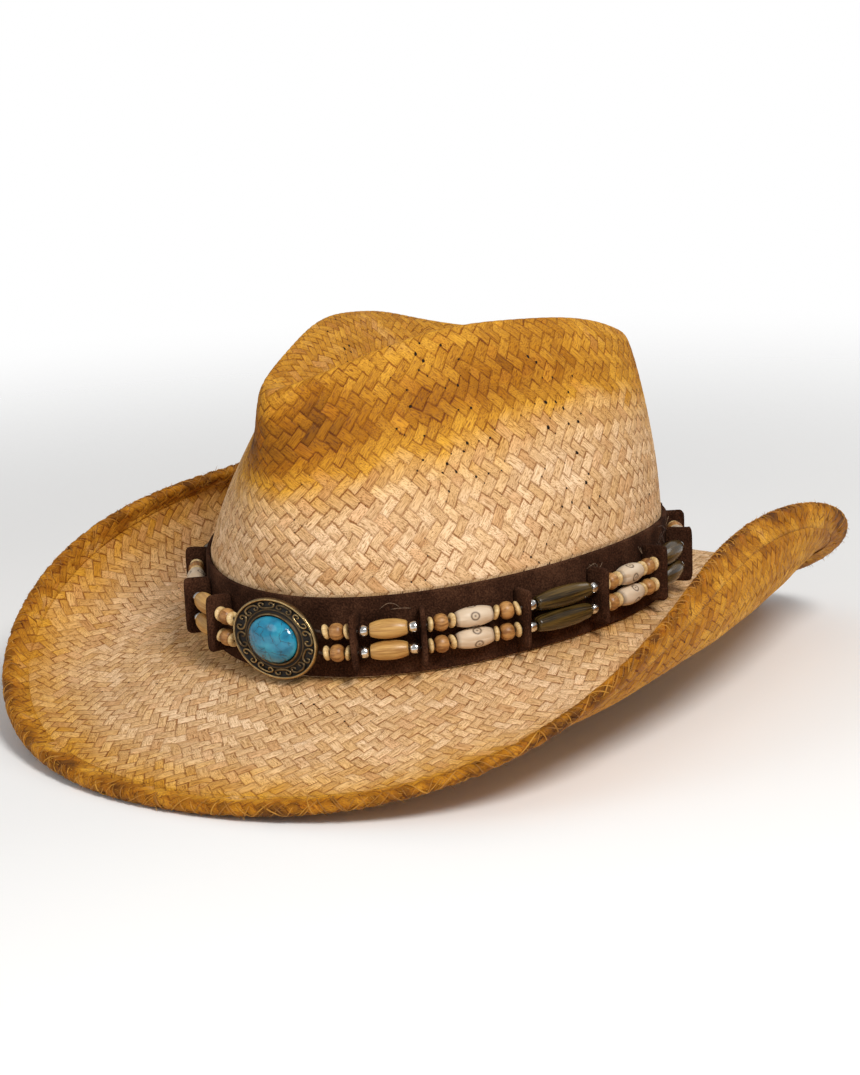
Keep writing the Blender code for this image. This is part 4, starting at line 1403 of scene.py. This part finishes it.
def tile_pieces(standoff, finish):
    """Suede spacers, edge on to the cords."""
    for side, label in ((1, "left"), (-1, "right")):
        for number, (point, outward) in enumerate(stops(side, standoff)[1:], 1):
            seed = number * 7 + side
            shape, quads, caps = tile_shape(TILE_DEPTH, TILE_HEIGHT, TILE_THICKNESS, standoff - GAP, seed)
            name = f"suede_tile_{label}_{number}"
            points = sent_to(shape, point, np.cross(UP, outward), outward)
            piece = make_piece(name + "_nap", points, [quads, caps], finish, RECORD_BODY)
            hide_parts(name)


def keeper_piece(standoff, finish):
    """The suede block that holds both cords' ends behind the head."""
    bend = HEAD_WIDTH**2 / HEAD_LENGTH / 2
    inner = standoff - (GAP + KEEPER_LENGTH**2 / 8 / bend)
    shape, quads, caps = tile_shape(KEEPER_DEPTH, TILE_HEIGHT, KEEPER_LENGTH, inner, 90)
    point, outward, _ = oval_line(standoff)
    points = sent_to(shape, point[0], np.cross(UP, outward[0]), outward[0])
    piece = make_piece("back_keeper_nap", points, [quads, caps], finish, RECORD_BODY)
    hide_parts("back_keeper")


# ---------------------------------------------------------------- beads


def turned(profile, sides, along_offset=0.0, around_offset=0.0, dent=None):
    """(points, quads, texture) of a bead turned about Z from closed (height, radius) stations."""
    profile = np.asarray(profile)
    turns = np.linspace(0, TAU, sides, endpoint=False)
    radius = profile[:, 1][:, None] + 0 * turns
    if dent is not None:
        radius = radius - dent(profile[:, 0][:, None] + 0 * turns, turns + 0 * radius, radius)
    grid = np.stack([radius * np.cos(turns), radius * np.sin(turns), profile[:, 0][:, None] + 0 * turns], -1)
    faces = ring_faces(len(profile), sides, closed_rows=True)
    around, along = TAU * profile[:, 1].max(), profile[:, 0] + along_offset
    texture = ring_texture(len(profile), sides, around, along, closed_rows=True)
    return grid.reshape(-1, 3), faces, texture + (around_offset, 0)


def bead_profile(kind, fine=14):
    """(height, radius) stations up the outside of a bead and back down its bore."""
    length, diameter = BEADS[kind]
    radius = diameter / 2
    bore = CORD_DIAMETER / 2 + (BORE_GAP if "barrel" in kind else 0.0001)
    share = np.linspace(-1, 1, fine * 2 + 1)
    if kind == "disc":
        lens = (1 - np.abs(share) ** 2.2) ** 0.55
        outside = np.stack([share * length / 2, bore + (radius - bore) * lens], -1)
    elif kind in ("round", "silver"):
        ball = (1 - np.abs(share) ** 2.3) ** 0.47
        outside = np.stack([share * length / 2 * 0.998, bore + (radius - bore) * ball], -1)
    else:
        swell = BARREL_END + (1 - BARREL_END) * (1 - np.abs(share) ** 2.3)
        soft = np.clip((1 - np.abs(share)) / 0.05, 0, 1)
        swell = swell * (0.86 + 0.14 * np.sqrt(soft * (2 - soft)))
        outside = np.stack([share * length / 2, radius * swell], -1)
    inside = np.array([[length / 2, bore], [-length / 2, bore]]) if "barrel" in kind else np.zeros((0, 2))
    return np.concatenate([outside, inside])


def ring_marks(marks, depth):
    """A cut for each (height, angle, radius) ring and its dot: rings of a given radius on the surface."""

    def dent(height, turn, radius):
        cut = np.zeros_like(radius)
        for mark_height, mark_turn, size in marks:
            side = ((turn - mark_turn + math.pi) % TAU - math.pi) * 0.0040
            away = np.hypot(height - mark_height, side)
            ring, dot = np.exp(-(((away - size) / 0.00036) ** 2)), np.exp(-((away / 0.00050) ** 2))
            cut = cut + depth * ring + depth * dot
        return np.minimum(cut, depth)

    return dent


def strand_beads(side, level, standoff):
    """Every bead on one cord of one side, as (kind, number, middle, along, outward), and the cord's path."""
    lift = UP * level * STRAND_SPACING / 2
    bends = [point + lift for point, _ in stops(side, standoff)]
    found, path = [], []
    number = 0
    for index, group in enumerate((CONCHO_GROUP, *GROUPS)):
        start, end = bends[index], bends[index + 1]
        along = unit(end - start)
        outward = unit(np.cross(along, UP) * side)
        path += [start + along * share for share in np.linspace(0, math.dist(start, end), 6)[:-1]]
        distance = (TILE_THICKNESS / 2 if index else 0) + end_gap(group)
        for bead in group:
            length = BEADS[bead][0]
            number += "barrel" in bead
            found.append((bead, number, start + along * (distance + length / 2), along, outward))
            distance += length + BEAD_GAP
    return found, path + [bends[-1]]


def small_bead_pieces(standoff, finishes):
    """Silver balls, flat discs and round beads of both strands, each kind gathered into one piece."""
    draw = shuffled(91)
    heaps = {kind: Heap() for kind in ("silver", "disc", "round")}
    for side in (1, -1):
        for level in (1, -1):
            for kind, _, middle, along, outward in strand_beads(side, level, standoff)[0]:
                if kind not in heaps:
                    continue
                shape, faces, texture = turned(
                    bead_profile(kind, 6 if kind == "disc" else 8), 20, draw.uniform(0, 1), draw.uniform(0, 1)
                )
                lean = draw.normal(0, 0.20 if kind == "disc" else 0.05, 2)
                tipped = unit(along + np.cross(along, outward) * lean[0] + outward * lean[1] * 0.5)
                out = unit(outward - tipped * (outward @ tipped))
                size = draw.uniform(0.96, 1.02) + 0.08 * (kind == "silver")
                spin = Matrix.Rotation(draw.uniform(0, TAU), 3, "Z")
                shape = shape @ np.array(spin).T * (size, size, 1)
                heaps[kind].add(sent_to(shape, middle, tipped, out), faces, texture)
    names = {"silver": "silver_balls", "disc": "flat_discs", "round": "round_beads"}
    return [heap.piece(names[kind], finishes[kind], slot="bead_strand") for kind, heap in heaps.items()]


def cord_piece(level, standoff, finish):
    """One waxed cord round the hat: through the beads and the concho's bar, and on to the keeper."""
    lift = UP * level * STRAND_SPACING / 2
    halves = {side: strand_beads(side, level, standoff)[1] for side in (1, -1)}
    point, _, length = oval_line((CONCHO_STANDOFF - GAP) / 2 + CORD_DIAMETER / 2)
    front = point[int(np.abs(length).argmin())] + lift
    point, _, length = oval_line(standoff)
    path = [*halves[-1][::-1], front, *halves[1]]
    tail = {}
    for side in (1, -1):
        reach = side * length[np.linalg.norm(point + lift - halves[side][-1], axis=1).argmin()]
        ways = side * np.linspace(reach, length[-1] - 0.001, 40)[1:]
        tail[side] = [point[int(np.abs(length - way).argmin())] + lift for way in ways]
    path = np.array([*tail[-1][::-1], *path, *tail[1]])
    points, faces, caps = tube(path, CORD_DIAMETER / 2, 8)
    name = "upper" if level > 0 else "lower"
    piece = make_piece(f"waxed_cord_{name}", points, [faces, caps], finish, RECORD_BODY)
    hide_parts(f"{name}_strand")
    return piece


def barrel_pieces(standoff, finishes):
    """Long beads, each on its own body, so that each turns on its cord."""
    draw = shuffled(92)
    slots = {"tan_barrel": "tan_wood", "carved_barrel": "carved_bone", "dark_barrel": "dark_horn"}
    for side, label in ((1, "left"), (-1, "right")):
        for level, height in ((1, "upper"), (-1, "lower")):
            for kind, number, middle, along, outward in strand_beads(side, level, standoff)[0]:
                if kind not in slots:
                    continue
                node = f"{kind}_{height}_{label}_{number}"
                profile = bead_profile(kind, 48 if kind == "carved_barrel" else 22)
                cut, fields = None, None
                if kind == "carved_barrel":
                    turn = draw.uniform(-0.9, 0.9)
                    shift = draw.uniform(-0.0008, 0.0008)
                    marks = [(shift, turn + k * TAU / 4, MARK_RADIUS) for k in range(4)]
                    cut = ring_marks(marks, MARK_DEPTH)
                sides = 112 if cut else 48
                shape, faces, texture = turned(profile, sides, draw.uniform(0, 1), draw.uniform(0, 1), cut)
                if cut:
                    turns = np.broadcast_to(np.linspace(0, TAU, sides, endpoint=False), (len(profile), sides))
                    heights = profile[:, :1] + 0 * turns
                    depth = cut(heights, turns, heights * 0) / MARK_DEPTH
                    worn_end = smooth_step(np.abs(heights) / BEADS[kind][0] * 2, 0.78, 1.0)
                    fields = {"stain": np.clip(0.9 * depth + 0.55 * worn_end, 0, 1).ravel()}
                points = sent_to(shape, middle, along, outward)
                piece = make_piece(
                    node + "_turned", points, [faces], finishes[kind], node, texture, fields
                )
                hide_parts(node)


# ---------------------------------------------------------------- concho


def concho_place(points):
    """Local points with X out from the hat, Y round it and Z up, leaned a little and set on the front."""
    point, outward = on_band(0.0, CONCHO_STANDOFF)
    lean = math.radians(CONCHO_LEAN)
    y = points[..., 1] * math.cos(lean) - points[..., 2] * math.sin(lean)
    z = points[..., 1] * math.sin(lean) + points[..., 2] * math.cos(lean)
    turned_points = np.stack([points[..., 0], y, z], -1)
    return point + turned_points @ np.array([outward, np.cross(UP, outward), UP])


def oval_stack(rings, sides):
    """Points of (half width, half height, rise) ovals, one row each."""
    turns = np.linspace(0, TAU, sides, endpoint=False)
    return np.array(
        [
            np.stack([rise + 0 * turns, width * np.cos(turns), height * np.sin(turns)], -1)
            for width, height, rise in rings
        ]
    )


def closed_stack(grid):
    """(points, quads, triangles) of stacked rings with their first and last closed in a fan."""
    rows, sides = grid.shape[:2]
    points = np.concatenate([grid.reshape(-1, 3), grid[:1].mean(axis=1), grid[-1:].mean(axis=1)])
    fan, last = np.arange(sides), (rows - 1) * sides
    caps = np.concatenate(
        [
            np.stack([(fan + 1) % sides, fan, 0 * fan + len(points) - 2], -1),
            np.stack([last + fan, last + (fan + 1) % sides, 0 * fan + len(points) - 1], -1),
        ]
    )
    return points, ring_faces(rows, sides), caps


def concho_piece(finish):
    """The oval plate: a domed field between a raised rim and the cup's double ring."""
    half = np.array([CONCHO_WIDTH / 2, CONCHO_HEIGHT / 2])
    cup = np.array([STONE_WIDTH / 2, STONE_HEIGHT / 2]) + GAP
    face = CONCHO_PLATE
    steps = [
        (half - 0.0010, 0.0, 0.0),
        (half - 0.0001, 0.0004, 0.3),
        (half, face * 0.7, 0.5),
        (half - 0.0001, face + 0.0004, 0.7),
        (half - 0.0004, face + CONCHO_RIM, 1.0),
        (half - 0.0009, face + CONCHO_RIM, 0.8),
        (half - 0.0012, face + 0.0003, 0.2),
        (half - 0.0015, face - 0.0003, -0.1),
        (half - 0.0024, face - 0.0003, -0.1),
        (cup + 0.0034, face - 0.0001, -0.1),
        (cup + 0.0028, face - 0.0001, -0.1),
        (cup + 0.0024, face + 0.0005, 0.4),
        (cup + 0.0021, face + 0.0007, 0.6),
        (cup + 0.0018, face + 0.0004, 0.1),
        (cup + 0.0014, face + 0.0002, -0.1),
        (cup + 0.0010, face + 0.0008, 0.3),
        (cup + 0.0006, face + 2 * CONCHO_RIM, 0.7),
        (cup + 0.0001, face + 2 * CONCHO_RIM, 0.4),
        (cup - 0.0001, face + 0.0006, 0.0),
        (cup * 0.6, face + 0.0004, 0.0),
    ]
    grid = oval_stack([(width, height, rise) for (width, height), rise, _ in steps], 144)
    wear = np.repeat([worn for _, _, worn in steps], 144)
    points, quads, caps = closed_stack(grid)
    fields = {"worn": np.concatenate([wear, [0, 0]])}
    piece = make_piece(
        "concho", concho_place(points), [quads, caps], finish, RECORD_BODY,
        None, fields,
    )
    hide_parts("concho_plate")
    return piece


def scroll_piece(finish):
    """Raised scrollwork on the field: double spirals whose heading grows with the square of the distance
    from their middle, and which turn over from one to the next."""
    heap = Heap()
    half = np.array([CONCHO_WIDTH / 2 - 0.0015, CONCHO_HEIGHT / 2 - 0.0015])
    cup = np.array([STONE_WIDTH / 2 + GAP + 0.0025, STONE_HEIGHT / 2 + GAP + 0.0025])
    middle, room = (half + cup) / 2, (half - cup) / 2
    count = 12
    draw = shuffled(95)
    share = np.linspace(-1, 1, 64)
    heading = 5.6 * share**2
    along = np.cumsum(np.cos(heading)) * (share[1] - share[0])
    across = np.cumsum(np.sin(heading) * np.sign(share + 1e-9)) * (share[1] - share[0])
    along -= (along.min() + along.max()) / 2
    across -= (across.min() + across.max()) / 2
    for k in range(count):
        flip = 1 if k % 2 else -1
        around = TAU * (k + 0.5) / count + along / np.ptp(along) * TAU / count * 0.84
        ring = middle + room * (across / np.ptp(across) * 1.55 * flip)[:, None]
        rise = CONCHO_PLATE + 0.00008
        path = np.stack([rise + 0 * around, ring[:, 0] * np.cos(around), ring[:, 1] * np.sin(around)], -1)
        radius = 0.00052 * (1 - 0.35 * share**2)
        points, faces, caps = tube(path, radius, 6, up=np.array([1.0, 0.0, 0.0]))
        points = concho_place(points)
        heap.add(points, faces, worn=draw.uniform(0.48, 0.85))
        heap.faces.append(caps + heap.count - len(points))
    return heap.piece("concho_scrolls", finish, slot="antique_bronze")


def stone_piece(finish):
    """The cabochon: an oval dome of a circle-like section, slightly uneven, on a short straight girdle."""
    base = CONCHO_PLATE + GAP
    lean = np.linspace(0, 1, 26)
    share = np.cos(lean * math.pi / 2) ** 0.85
    rise = STONE_DOME * (0.22 + 0.78 * np.sin(lean * math.pi / 2) ** 1.15)
    rings = [(STONE_WIDTH / 2, STONE_HEIGHT / 2, base)]
    rings += [(STONE_WIDTH / 2 * s, STONE_HEIGHT / 2 * s, base + r) for s, r in zip(share[:-1], rise[:-1])]
    points, quads, caps = closed_stack(oval_stack(rings, 96))
    points[:, 0] += 0.00012 * wavy_noise(points, 0.008, 97) * (points[:, 0] > base + 0.001)
    piece = make_piece(
        "turquoise_stone", concho_place(points), [quads, caps], finish, RECORD_BODY
    )
    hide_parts("turquoise_cabochon")
    return piece


# ---------------------------------------------------------------- threads


def thread_pieces(finish_dark, finish_pale):
    """Loose thread ends at the band's join and at the tiles' tops."""
    draw = shuffled(98)
    kinds = (
        ("join_threads", finish_dark, 9, (0.188, 0.198), (0.004, 0.016)),
        ("tile_threads", finish_pale, 7, (0.03, 0.21), (0.010, 0.014)),
    )
    for name, finish, count, ways, heights in kinds:
        heap = Heap()
        for _ in range(count):
            point, outward = on_band(draw.uniform(*ways), 0.0004)
            height = draw.uniform(*heights)
            ahead = np.cross(UP, outward)
            t = np.linspace(0, 1, 12)
            sweep = draw.uniform(0.002, 0.008)
            loop = draw.uniform(-0.004, 0.004)
            path = point + UP * height + outward * (0.0012 * np.sin(math.pi * t))[:, None]
            path = path + ahead * (sweep * t)[:, None] + UP * (loop * np.sin(math.pi * t * 0.9))[:, None]
            points, faces, _ = tube(path, 0.00013, 4, up=outward)
            heap.add(points, faces)
        heap.piece(name, finish, slot="suede")


# ---------------------------------------------------------------- settings


def length_setting(name, description, default, **more):
    """A setting in metres."""
    return FloatProperty(name=name, description=description, default=default, unit="LENGTH", **more)


def colour_setting(name, description, default):
    """A setting that is a colour."""
    return FloatVectorProperty(
        name=name, description=description, default=default, subtype="COLOR", min=0, max=1
    )


class StrawSettings(bpy.types.PropertyGroup):
    """Size and colours of the plait"""

    strip_width: length_setting("Strip width", "Width of one plaited strip", 0.0040, min=0.002)
    relief: length_setting("Relief", "How far a strip stands above the one it crosses", 0.00042)
    mesh_size: length_setting("Mesh size", "Side of a face on the plait", 0.00095, min=0.0005)
    loose_fibres: IntProperty(
        name="Loose fibres", description="Fibres that stand out of the edge", default=3600
    )
    stitches: IntProperty(name="Wraps", description="Fibres wrapped round the edge", default=420)
    natural: colour_setting("Natural", "Unsprayed straw", (0.84, 0.60, 0.38))
    natural_warm: colour_setting("Warm natural", "Straw at the start of the spray", (0.78, 0.50, 0.23))
    golden: colour_setting("Golden", "Straw in the middle of the spray", (0.69, 0.350, 0.036))
    amber: colour_setting("Amber", "Straw near the end of the spray", (0.42, 0.165, 0.006))
    brown: colour_setting("Brown", "Straw at the end of the spray", (0.14, 0.050, 0.004))
    tawny: colour_setting("Tawny", "What darker strips are multiplied by", (0.80, 0.62, 0.42))
    streak: colour_setting("Streak", "What the fibres' dark sides are multiplied by", (0.72, 0.61, 0.45))
    # Painted shade along the strips' edges and the darker fibre splits are both multiplied by this colour.
    seam: colour_setting("Seam", "What the strips' shaded edges are multiplied by", (0.36, 0.20, 0.08))


class SuedeSettings(bpy.types.PropertyGroup):
    """Colours of the suede"""

    dark_tone_and_shade: colour_setting("Shaded nap", "Suede brushed away from the light", (0.022, 0.0085, 0.0045))
    colour: colour_setting("Nap", "Suede", (0.048, 0.0190, 0.0100))
    colour_light: colour_setting("Raised nap", "Suede brushed towards the light", (0.092, 0.040, 0.021))


class SweatbandSettings(bpy.types.PropertyGroup):
    """Colours of the sweatband"""

    # Painted shade in the grooves between the ribs, over the cloth's own tone.
    dark_tone_and_shade: colour_setting("Between ribs", "Cloth between its ribs", (0.010, 0.007, 0.006))
    colour: colour_setting("Ribs", "Cloth on its ribs", (0.035, 0.025, 0.020))


class BeadSettings(bpy.types.PropertyGroup):
    """Colours of the beads"""

    cream_dark: colour_setting("Cream shade", "Darker grain of the flat discs", (0.56, 0.35, 0.13))
    cream: colour_setting("Cream", "Lighter grain of the flat discs", (0.80, 0.58, 0.28))
    honey_dark: colour_setting("Honey shade", "Darker grain of the round beads", (0.24, 0.095, 0.022))
    honey: colour_setting("Honey", "Lighter grain of the round beads", (0.52, 0.26, 0.080))
    tan_dark: colour_setting("Tan shade", "Darker grain of the tan barrels", (0.36, 0.17, 0.040))
    tan: colour_setting("Tan", "Lighter grain of the tan barrels", (0.62, 0.36, 0.11))
    bone: colour_setting("Bone", "Carved barrels", (0.74, 0.60, 0.44))
    bone_warm: colour_setting("Warm bone", "Carved barrels' darker patches", (0.58, 0.42, 0.27))
    bone_stain: colour_setting("Bone stain", "Stain in the cuts", (0.070, 0.030, 0.010))
    horn_dark: colour_setting("Horn shade", "Dark barrels", (0.024, 0.014, 0.004))
    horn: colour_setting("Horn", "Lighter streaks of the dark barrels", (0.115, 0.070, 0.018))


class ConchoSettings(bpy.types.PropertyGroup):
    """Colours of the concho and its stone"""

    hollow: colour_setting("Hollows", "Patina in the hollows", (0.012, 0.009, 0.007))
    bronze: colour_setting("Bronze", "Bronze field", (0.13, 0.090, 0.050))
    brass: colour_setting("Brass", "Rubbed high parts", (0.55, 0.38, 0.17))
    stone_deep: colour_setting("Deep stone", "Darkest turquoise", (0.003, 0.090, 0.170))
    stone: colour_setting("Stone", "Turquoise", (0.006, 0.215, 0.370))
    stone_pale: colour_setting("Pale stone", "Palest turquoise", (0.035, 0.400, 0.540))
    vein: colour_setting("Vein", "Veins in the stone", (0.006, 0.045, 0.065))


class StageSettings(bpy.types.PropertyGroup):
    """Floor and light"""

    floor_colour: colour_setting("Floor", "Colour of the floor", (0.97, 0.97, 0.97))
    background: colour_setting("Background", "Colour of the surroundings", (1.0, 1.0, 1.0))
    background_strength: FloatProperty(
        name="Background strength", description="Light from all round", default=0.38
    )
    key_power: FloatProperty(
        name="Key light", description="Power of the overhead light", default=18.5, unit="POWER"
    )
    fill_power: FloatProperty(
        name="Fill light", description="Power of the front light", default=3.2, unit="POWER"
    )


# ---------------------------------------------------------------- operators


class HAT_OT_straw(bpy.types.Operator):
    """Plait the brim and the crown, and fold and stitch the brim's edge"""

    bl_idname = "hat.straw"
    bl_label = "Plaited straw"

    def execute(self, context):
        straw = context.scene.hat_straw
        finish = straw_finish("plaited_straw", straw, 1.0)
        made, weave = brim_pieces(straw, finish)
        made += crown_pieces(straw, finish)
        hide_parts("straw_body")
        edge_piece(straw, weave, straw_finish("folded_straw", straw, 0.0))
        fibres = fibre_finish(straw)
        edge_stitches(straw, fibres)
        edge_fibres(straw, fibres)
        refinish("brim_wire", wire_finish())
        return {"FINISHED"}


class HAT_OT_bands(bpy.types.Operator):
    """Wrap the suede band round the crown and the sweatband inside it"""

    bl_idname = "hat.bands"
    bl_label = "Suede band and sweatband"

    def execute(self, context):
        suede = suede_finish(context.scene.hat_suede)
        band = band_strip(
            "suede_band_nap", GAP, BAND_FOOT, BAND_HEIGHT, BAND_THICKNESS, suede, "suede", 0.0006, SEAM_ANGLE
        )
        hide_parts("suede_band")
        round_crown = girth(GAP + BAND_THICKNESS / 2)
        cloth = cloth_finish(context.scene.hat_sweatband)
        inner = -STRAW - GAP - SWEATBAND_THICKNESS
        size = (SWEATBAND_HEIGHT, SWEATBAND_THICKNESS)
        sweat = band_strip(
            "sweatband_cloth", inner, BAND_FOOT, *size, cloth, "sweatband_cloth", 0.0004, math.pi
        )
        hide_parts("sweatband")
        round_head = girth(inner + SWEATBAND_THICKNESS / 2)
        dark = thread_finish("brown_thread", (0.10, 0.05, 0.03), (0.03, 0.015, 0.01))
        pale = thread_finish("pale_thread", (0.26, 0.17, 0.10), (0.10, 0.06, 0.035))
        thread_pieces(dark, pale)
        return {"FINISHED"}


class HAT_OT_tiles(bpy.types.Operator):
    """Cut the suede tiles between the groups of beads, and the keeper at the back"""

    bl_idname = "hat.tiles"
    bl_label = "Suede tiles and keeper"

    def execute(self, context):
        suede = suede_finish(context.scene.hat_suede)
        standoff = strand_standoff()
        tile_pieces(standoff, suede)
        keeper_piece(standoff, suede)
        return {"FINISHED"}


class HAT_OT_strands(bpy.types.Operator):
    """String the two cords with their silver balls, discs and round beads"""

    bl_idname = "hat.strands"
    bl_label = "Cords and small beads"

    def execute(self, context):
        beads = context.scene.hat_beads
        standoff = strand_standoff()
        finishes = {
            "silver": silver_finish(),
            "disc": bead_finish("cream_wood", beads.cream_dark, beads.cream, 1500.0, 500.0, 0.34),
            "round": bead_finish("honey_wood", beads.honey_dark, beads.honey, 1400.0, 420.0, 0.36),
        }
        small_bead_pieces(standoff, finishes)
        cord = thread_finish("waxed_thread", (0.07, 0.04, 0.025), (0.02, 0.012, 0.008))
        for level in (1, -1):
            cord_piece(level, standoff, cord)
        return {"FINISHED"}


class HAT_OT_barrels(bpy.types.Operator):
    """Turn the long tan, carved and dark beads"""

    bl_idname = "hat.barrels"
    bl_label = "Long beads"

    def execute(self, context):
        beads = context.scene.hat_beads
        finishes = {
            "tan_barrel": bead_finish("turned_tan_wood", beads.tan_dark, beads.tan, 2200.0, 160.0, 0.30),
            "carved_barrel": carved_finish(beads),
            "dark_barrel": bead_finish("polished_horn", beads.horn_dark, beads.horn, 1500.0, 110.0, 0.14),
        }
        barrel_pieces(strand_standoff(), finishes)
        return {"FINISHED"}


class HAT_OT_concho(bpy.types.Operator):
    """Cast the oval concho with its scrolls, and set the stone"""

    bl_idname = "hat.concho"
    bl_label = "Concho and stone"

    def execute(self, context):
        concho = context.scene.hat_concho
        bronze = bronze_finish(concho)
        concho_piece(bronze)
        scroll_piece(bronze)
        refinish("concho_bar", bronze)
        stone_piece(turquoise_finish(concho))
        return {"FINISHED"}


class HAT_OT_stage(bpy.types.Operator):
    """Set the floor, the soft lights and the camera"""

    bl_idname = "hat.stage"
    bl_label = "Floor, lights and camera"

    def execute(self, context):
        set_floor(context.scene.hat_stage)
        set_lights(context.scene.hat_stage)
        set_camera()
        return {"FINISHED"}


# ---------------------------------------------------------------- stage

CAMERA_AROUND = 37.548
CAMERA_ABOVE = 15.02
CAMERA_ROLL = 2.487
CAMERA_AWAY = 1.25
CAMERA_LENS = 99.04
SHIFT_X = -0.01136
SHIFT_Y = 0.06112


def set_floor(stage):
    """A wide pale disc, turned from a few rings, just under the lowest point of the brim."""
    level = SOLID_BOX[0][2] - 0.0006
    columns = 96
    turns = np.linspace(0, TAU, columns, endpoint=False)
    circle = np.stack([np.cos(turns), np.sin(turns), 0 * turns], -1)
    rings = np.array([circle * radius + UP * level for radius in (0.3, 0.8, 2.0, 6.0)])
    points, quads, caps = closed_stack(rings[::-1])

    def fill(nodes):
        cloud = nodes.noise(nodes.object_place(), 2.0, 2.0)
        low = tuple(c * 0.985 for c in stage.floor_colour)
        away = nodes.vector("LENGTH", nodes.object_place())
        return {
            "Base Color": nodes.ramp(cloud, [(0.3, low), (0.7, stage.floor_colour)]),
            "Alpha": nodes.remap(away, 0.32, 0.95, 1.0, 0.0),
        }

    finish = finish_of("pale_floor", fill, Roughness=0.9, Specular_IOR_Level=0.1)
    mesh = bpy.data.meshes.new("floor")
    mesh.from_pydata(points.tolist(), [], quads[:, ::-1].tolist() + caps[columns:, ::-1].tolist())
    mesh.materials.append(finish)
    floor = bpy.data.objects.new("floor", mesh)
    bpy.context.scene.collection.objects.link(floor)


def aimed(obj, target):
    """Turns a light at `target` from its place."""
    back = unit(np.array(obj.location) - target)
    right = unit(np.cross(UP, back))
    axes = Matrix([right, np.cross(back, right), back]).transposed()
    obj.matrix_world = Matrix.Translation(obj.location) @ axes.to_4x4()


def soft_light(name, place, size, power, colour):
    """A round area light, turned to the hat."""
    lamp = bpy.data.lights.new(name, "AREA")
    lamp.shape = "DISK"
    lamp.size = size
    lamp.energy = power
    lamp.color = colour
    obj = bpy.data.objects.new(name, lamp)
    obj.location = place
    bpy.context.scene.collection.objects.link(obj)
    aimed(obj, np.array([0, 0, 0.04]))


def set_lights(stage):
    """A key, a fill and a back light, and pale surroundings."""
    soft_light("key_light", (1.05, -0.62, 1.10), 0.5, stage.key_power, (1.0, 0.98, 0.95))
    soft_light("fill_light", (-0.55, -1.35, 0.75), 1.0, stage.fill_power, (1.0, 0.99, 0.97))
    soft_light("back_light", (0.25, 1.35, 0.95), 0.8, stage.fill_power * 0.8, (1.0, 1.0, 1.0))
    world = bpy.data.worlds.new("surroundings")
    world.use_nodes = True
    ground = world.node_tree.nodes["Background"]
    ground.inputs["Color"].default_value = (*stage.background, 1)
    nodes = Nodes(world.node_tree)
    seen = nodes.add("ShaderNodeLightPath").outputs["Is Camera Ray"]
    nodes.feed(ground.inputs["Strength"], nodes.remap(seen, 0.0, 1.0, stage.background_strength, 1.0))
    bpy.context.scene.world = world
    bpy.context.scene.view_settings.view_transform = "Standard"


def set_camera():
    """A long lens at the wearer's left front, a little above the brim, rolled a little."""
    around, above, roll = (math.radians(v) for v in (CAMERA_AROUND, CAMERA_ABOVE, CAMERA_ROLL))
    back = np.array(
        [math.sin(around) * math.cos(above), -math.cos(around) * math.cos(above), math.sin(above)]
    )
    right = np.array([math.cos(around), math.sin(around), 0.0])
    up = np.cross(back, right)
    right, up = (
        right * math.cos(roll) - up * math.sin(roll),
        right * math.sin(roll) + up * math.cos(roll),
    )
    axes = Matrix([right, up, back]).transposed()
    data = bpy.data.cameras.new("camera")
    data.lens = CAMERA_LENS
    data.shift_x = SHIFT_X
    data.shift_y = SHIFT_Y
    data.clip_end = 20
    camera = bpy.data.objects.new("camera", data)
    camera.matrix_world = Matrix.Translation(back * CAMERA_AWAY) @ axes.to_4x4()
    bpy.context.scene.collection.objects.link(camera)
    bpy.context.scene.camera = camera


# ---------------------------------------------------------------- add-on


class HAT_PT_looks(bpy.types.Panel):
    """Steps and settings of the hat"""

    bl_idname = "HAT_PT_looks"
    bl_label = "Straw cowboy hat"
    bl_space_type = "VIEW_3D"
    bl_region_type = "UI"
    bl_category = "Hat"

    def draw(self, context):
        for operator, settings in STEPS:
            self.layout.operator(operator.bl_idname)
            for group in (getattr(context.scene, name) for name in settings):
                for name in group.__annotations__:
                    self.layout.prop(group, name)


STEPS = (
    (HAT_OT_straw, ("hat_straw",)),
    (HAT_OT_bands, ("hat_suede", "hat_sweatband")),
    (HAT_OT_tiles, ()),
    (HAT_OT_strands, ("hat_beads",)),
    (HAT_OT_barrels, ()),
    (HAT_OT_concho, ("hat_concho",)),
    (HAT_OT_stage, ("hat_stage",)),
)
SETTINGS = {
    "hat_straw": StrawSettings,
    "hat_suede": SuedeSettings,
    "hat_sweatband": SweatbandSettings,
    "hat_beads": BeadSettings,
    "hat_concho": ConchoSettings,
    "hat_stage": StageSettings,
}


def register():
    """Adds the settings, the steps and the panel."""
    for name, settings in SETTINGS.items():
        bpy.utils.register_class(settings)
        setattr(bpy.types.Scene, name, PointerProperty(type=settings))
    for operator, _ in STEPS:
        bpy.utils.register_class(operator)
    bpy.utils.register_class(HAT_PT_looks)


def unregister():
    """Takes them away again."""
    bpy.utils.unregister_class(HAT_PT_looks)
    for operator, _ in reversed(STEPS):
        bpy.utils.unregister_class(operator)
    for name, settings in reversed(SETTINGS.items()):
        delattr(bpy.types.Scene, name)
        bpy.utils.unregister_class(settings)


def main():
    """Makes the hat and its stage."""
    register()
    bpy.ops.hat.stage()
    bpy.ops.hat.straw()
    bpy.ops.hat.bands()
    bpy.ops.hat.tiles()
    bpy.ops.hat.strands()
    bpy.ops.hat.barrels()
    bpy.ops.hat.concho()


if __name__ == "__main__":
    main()
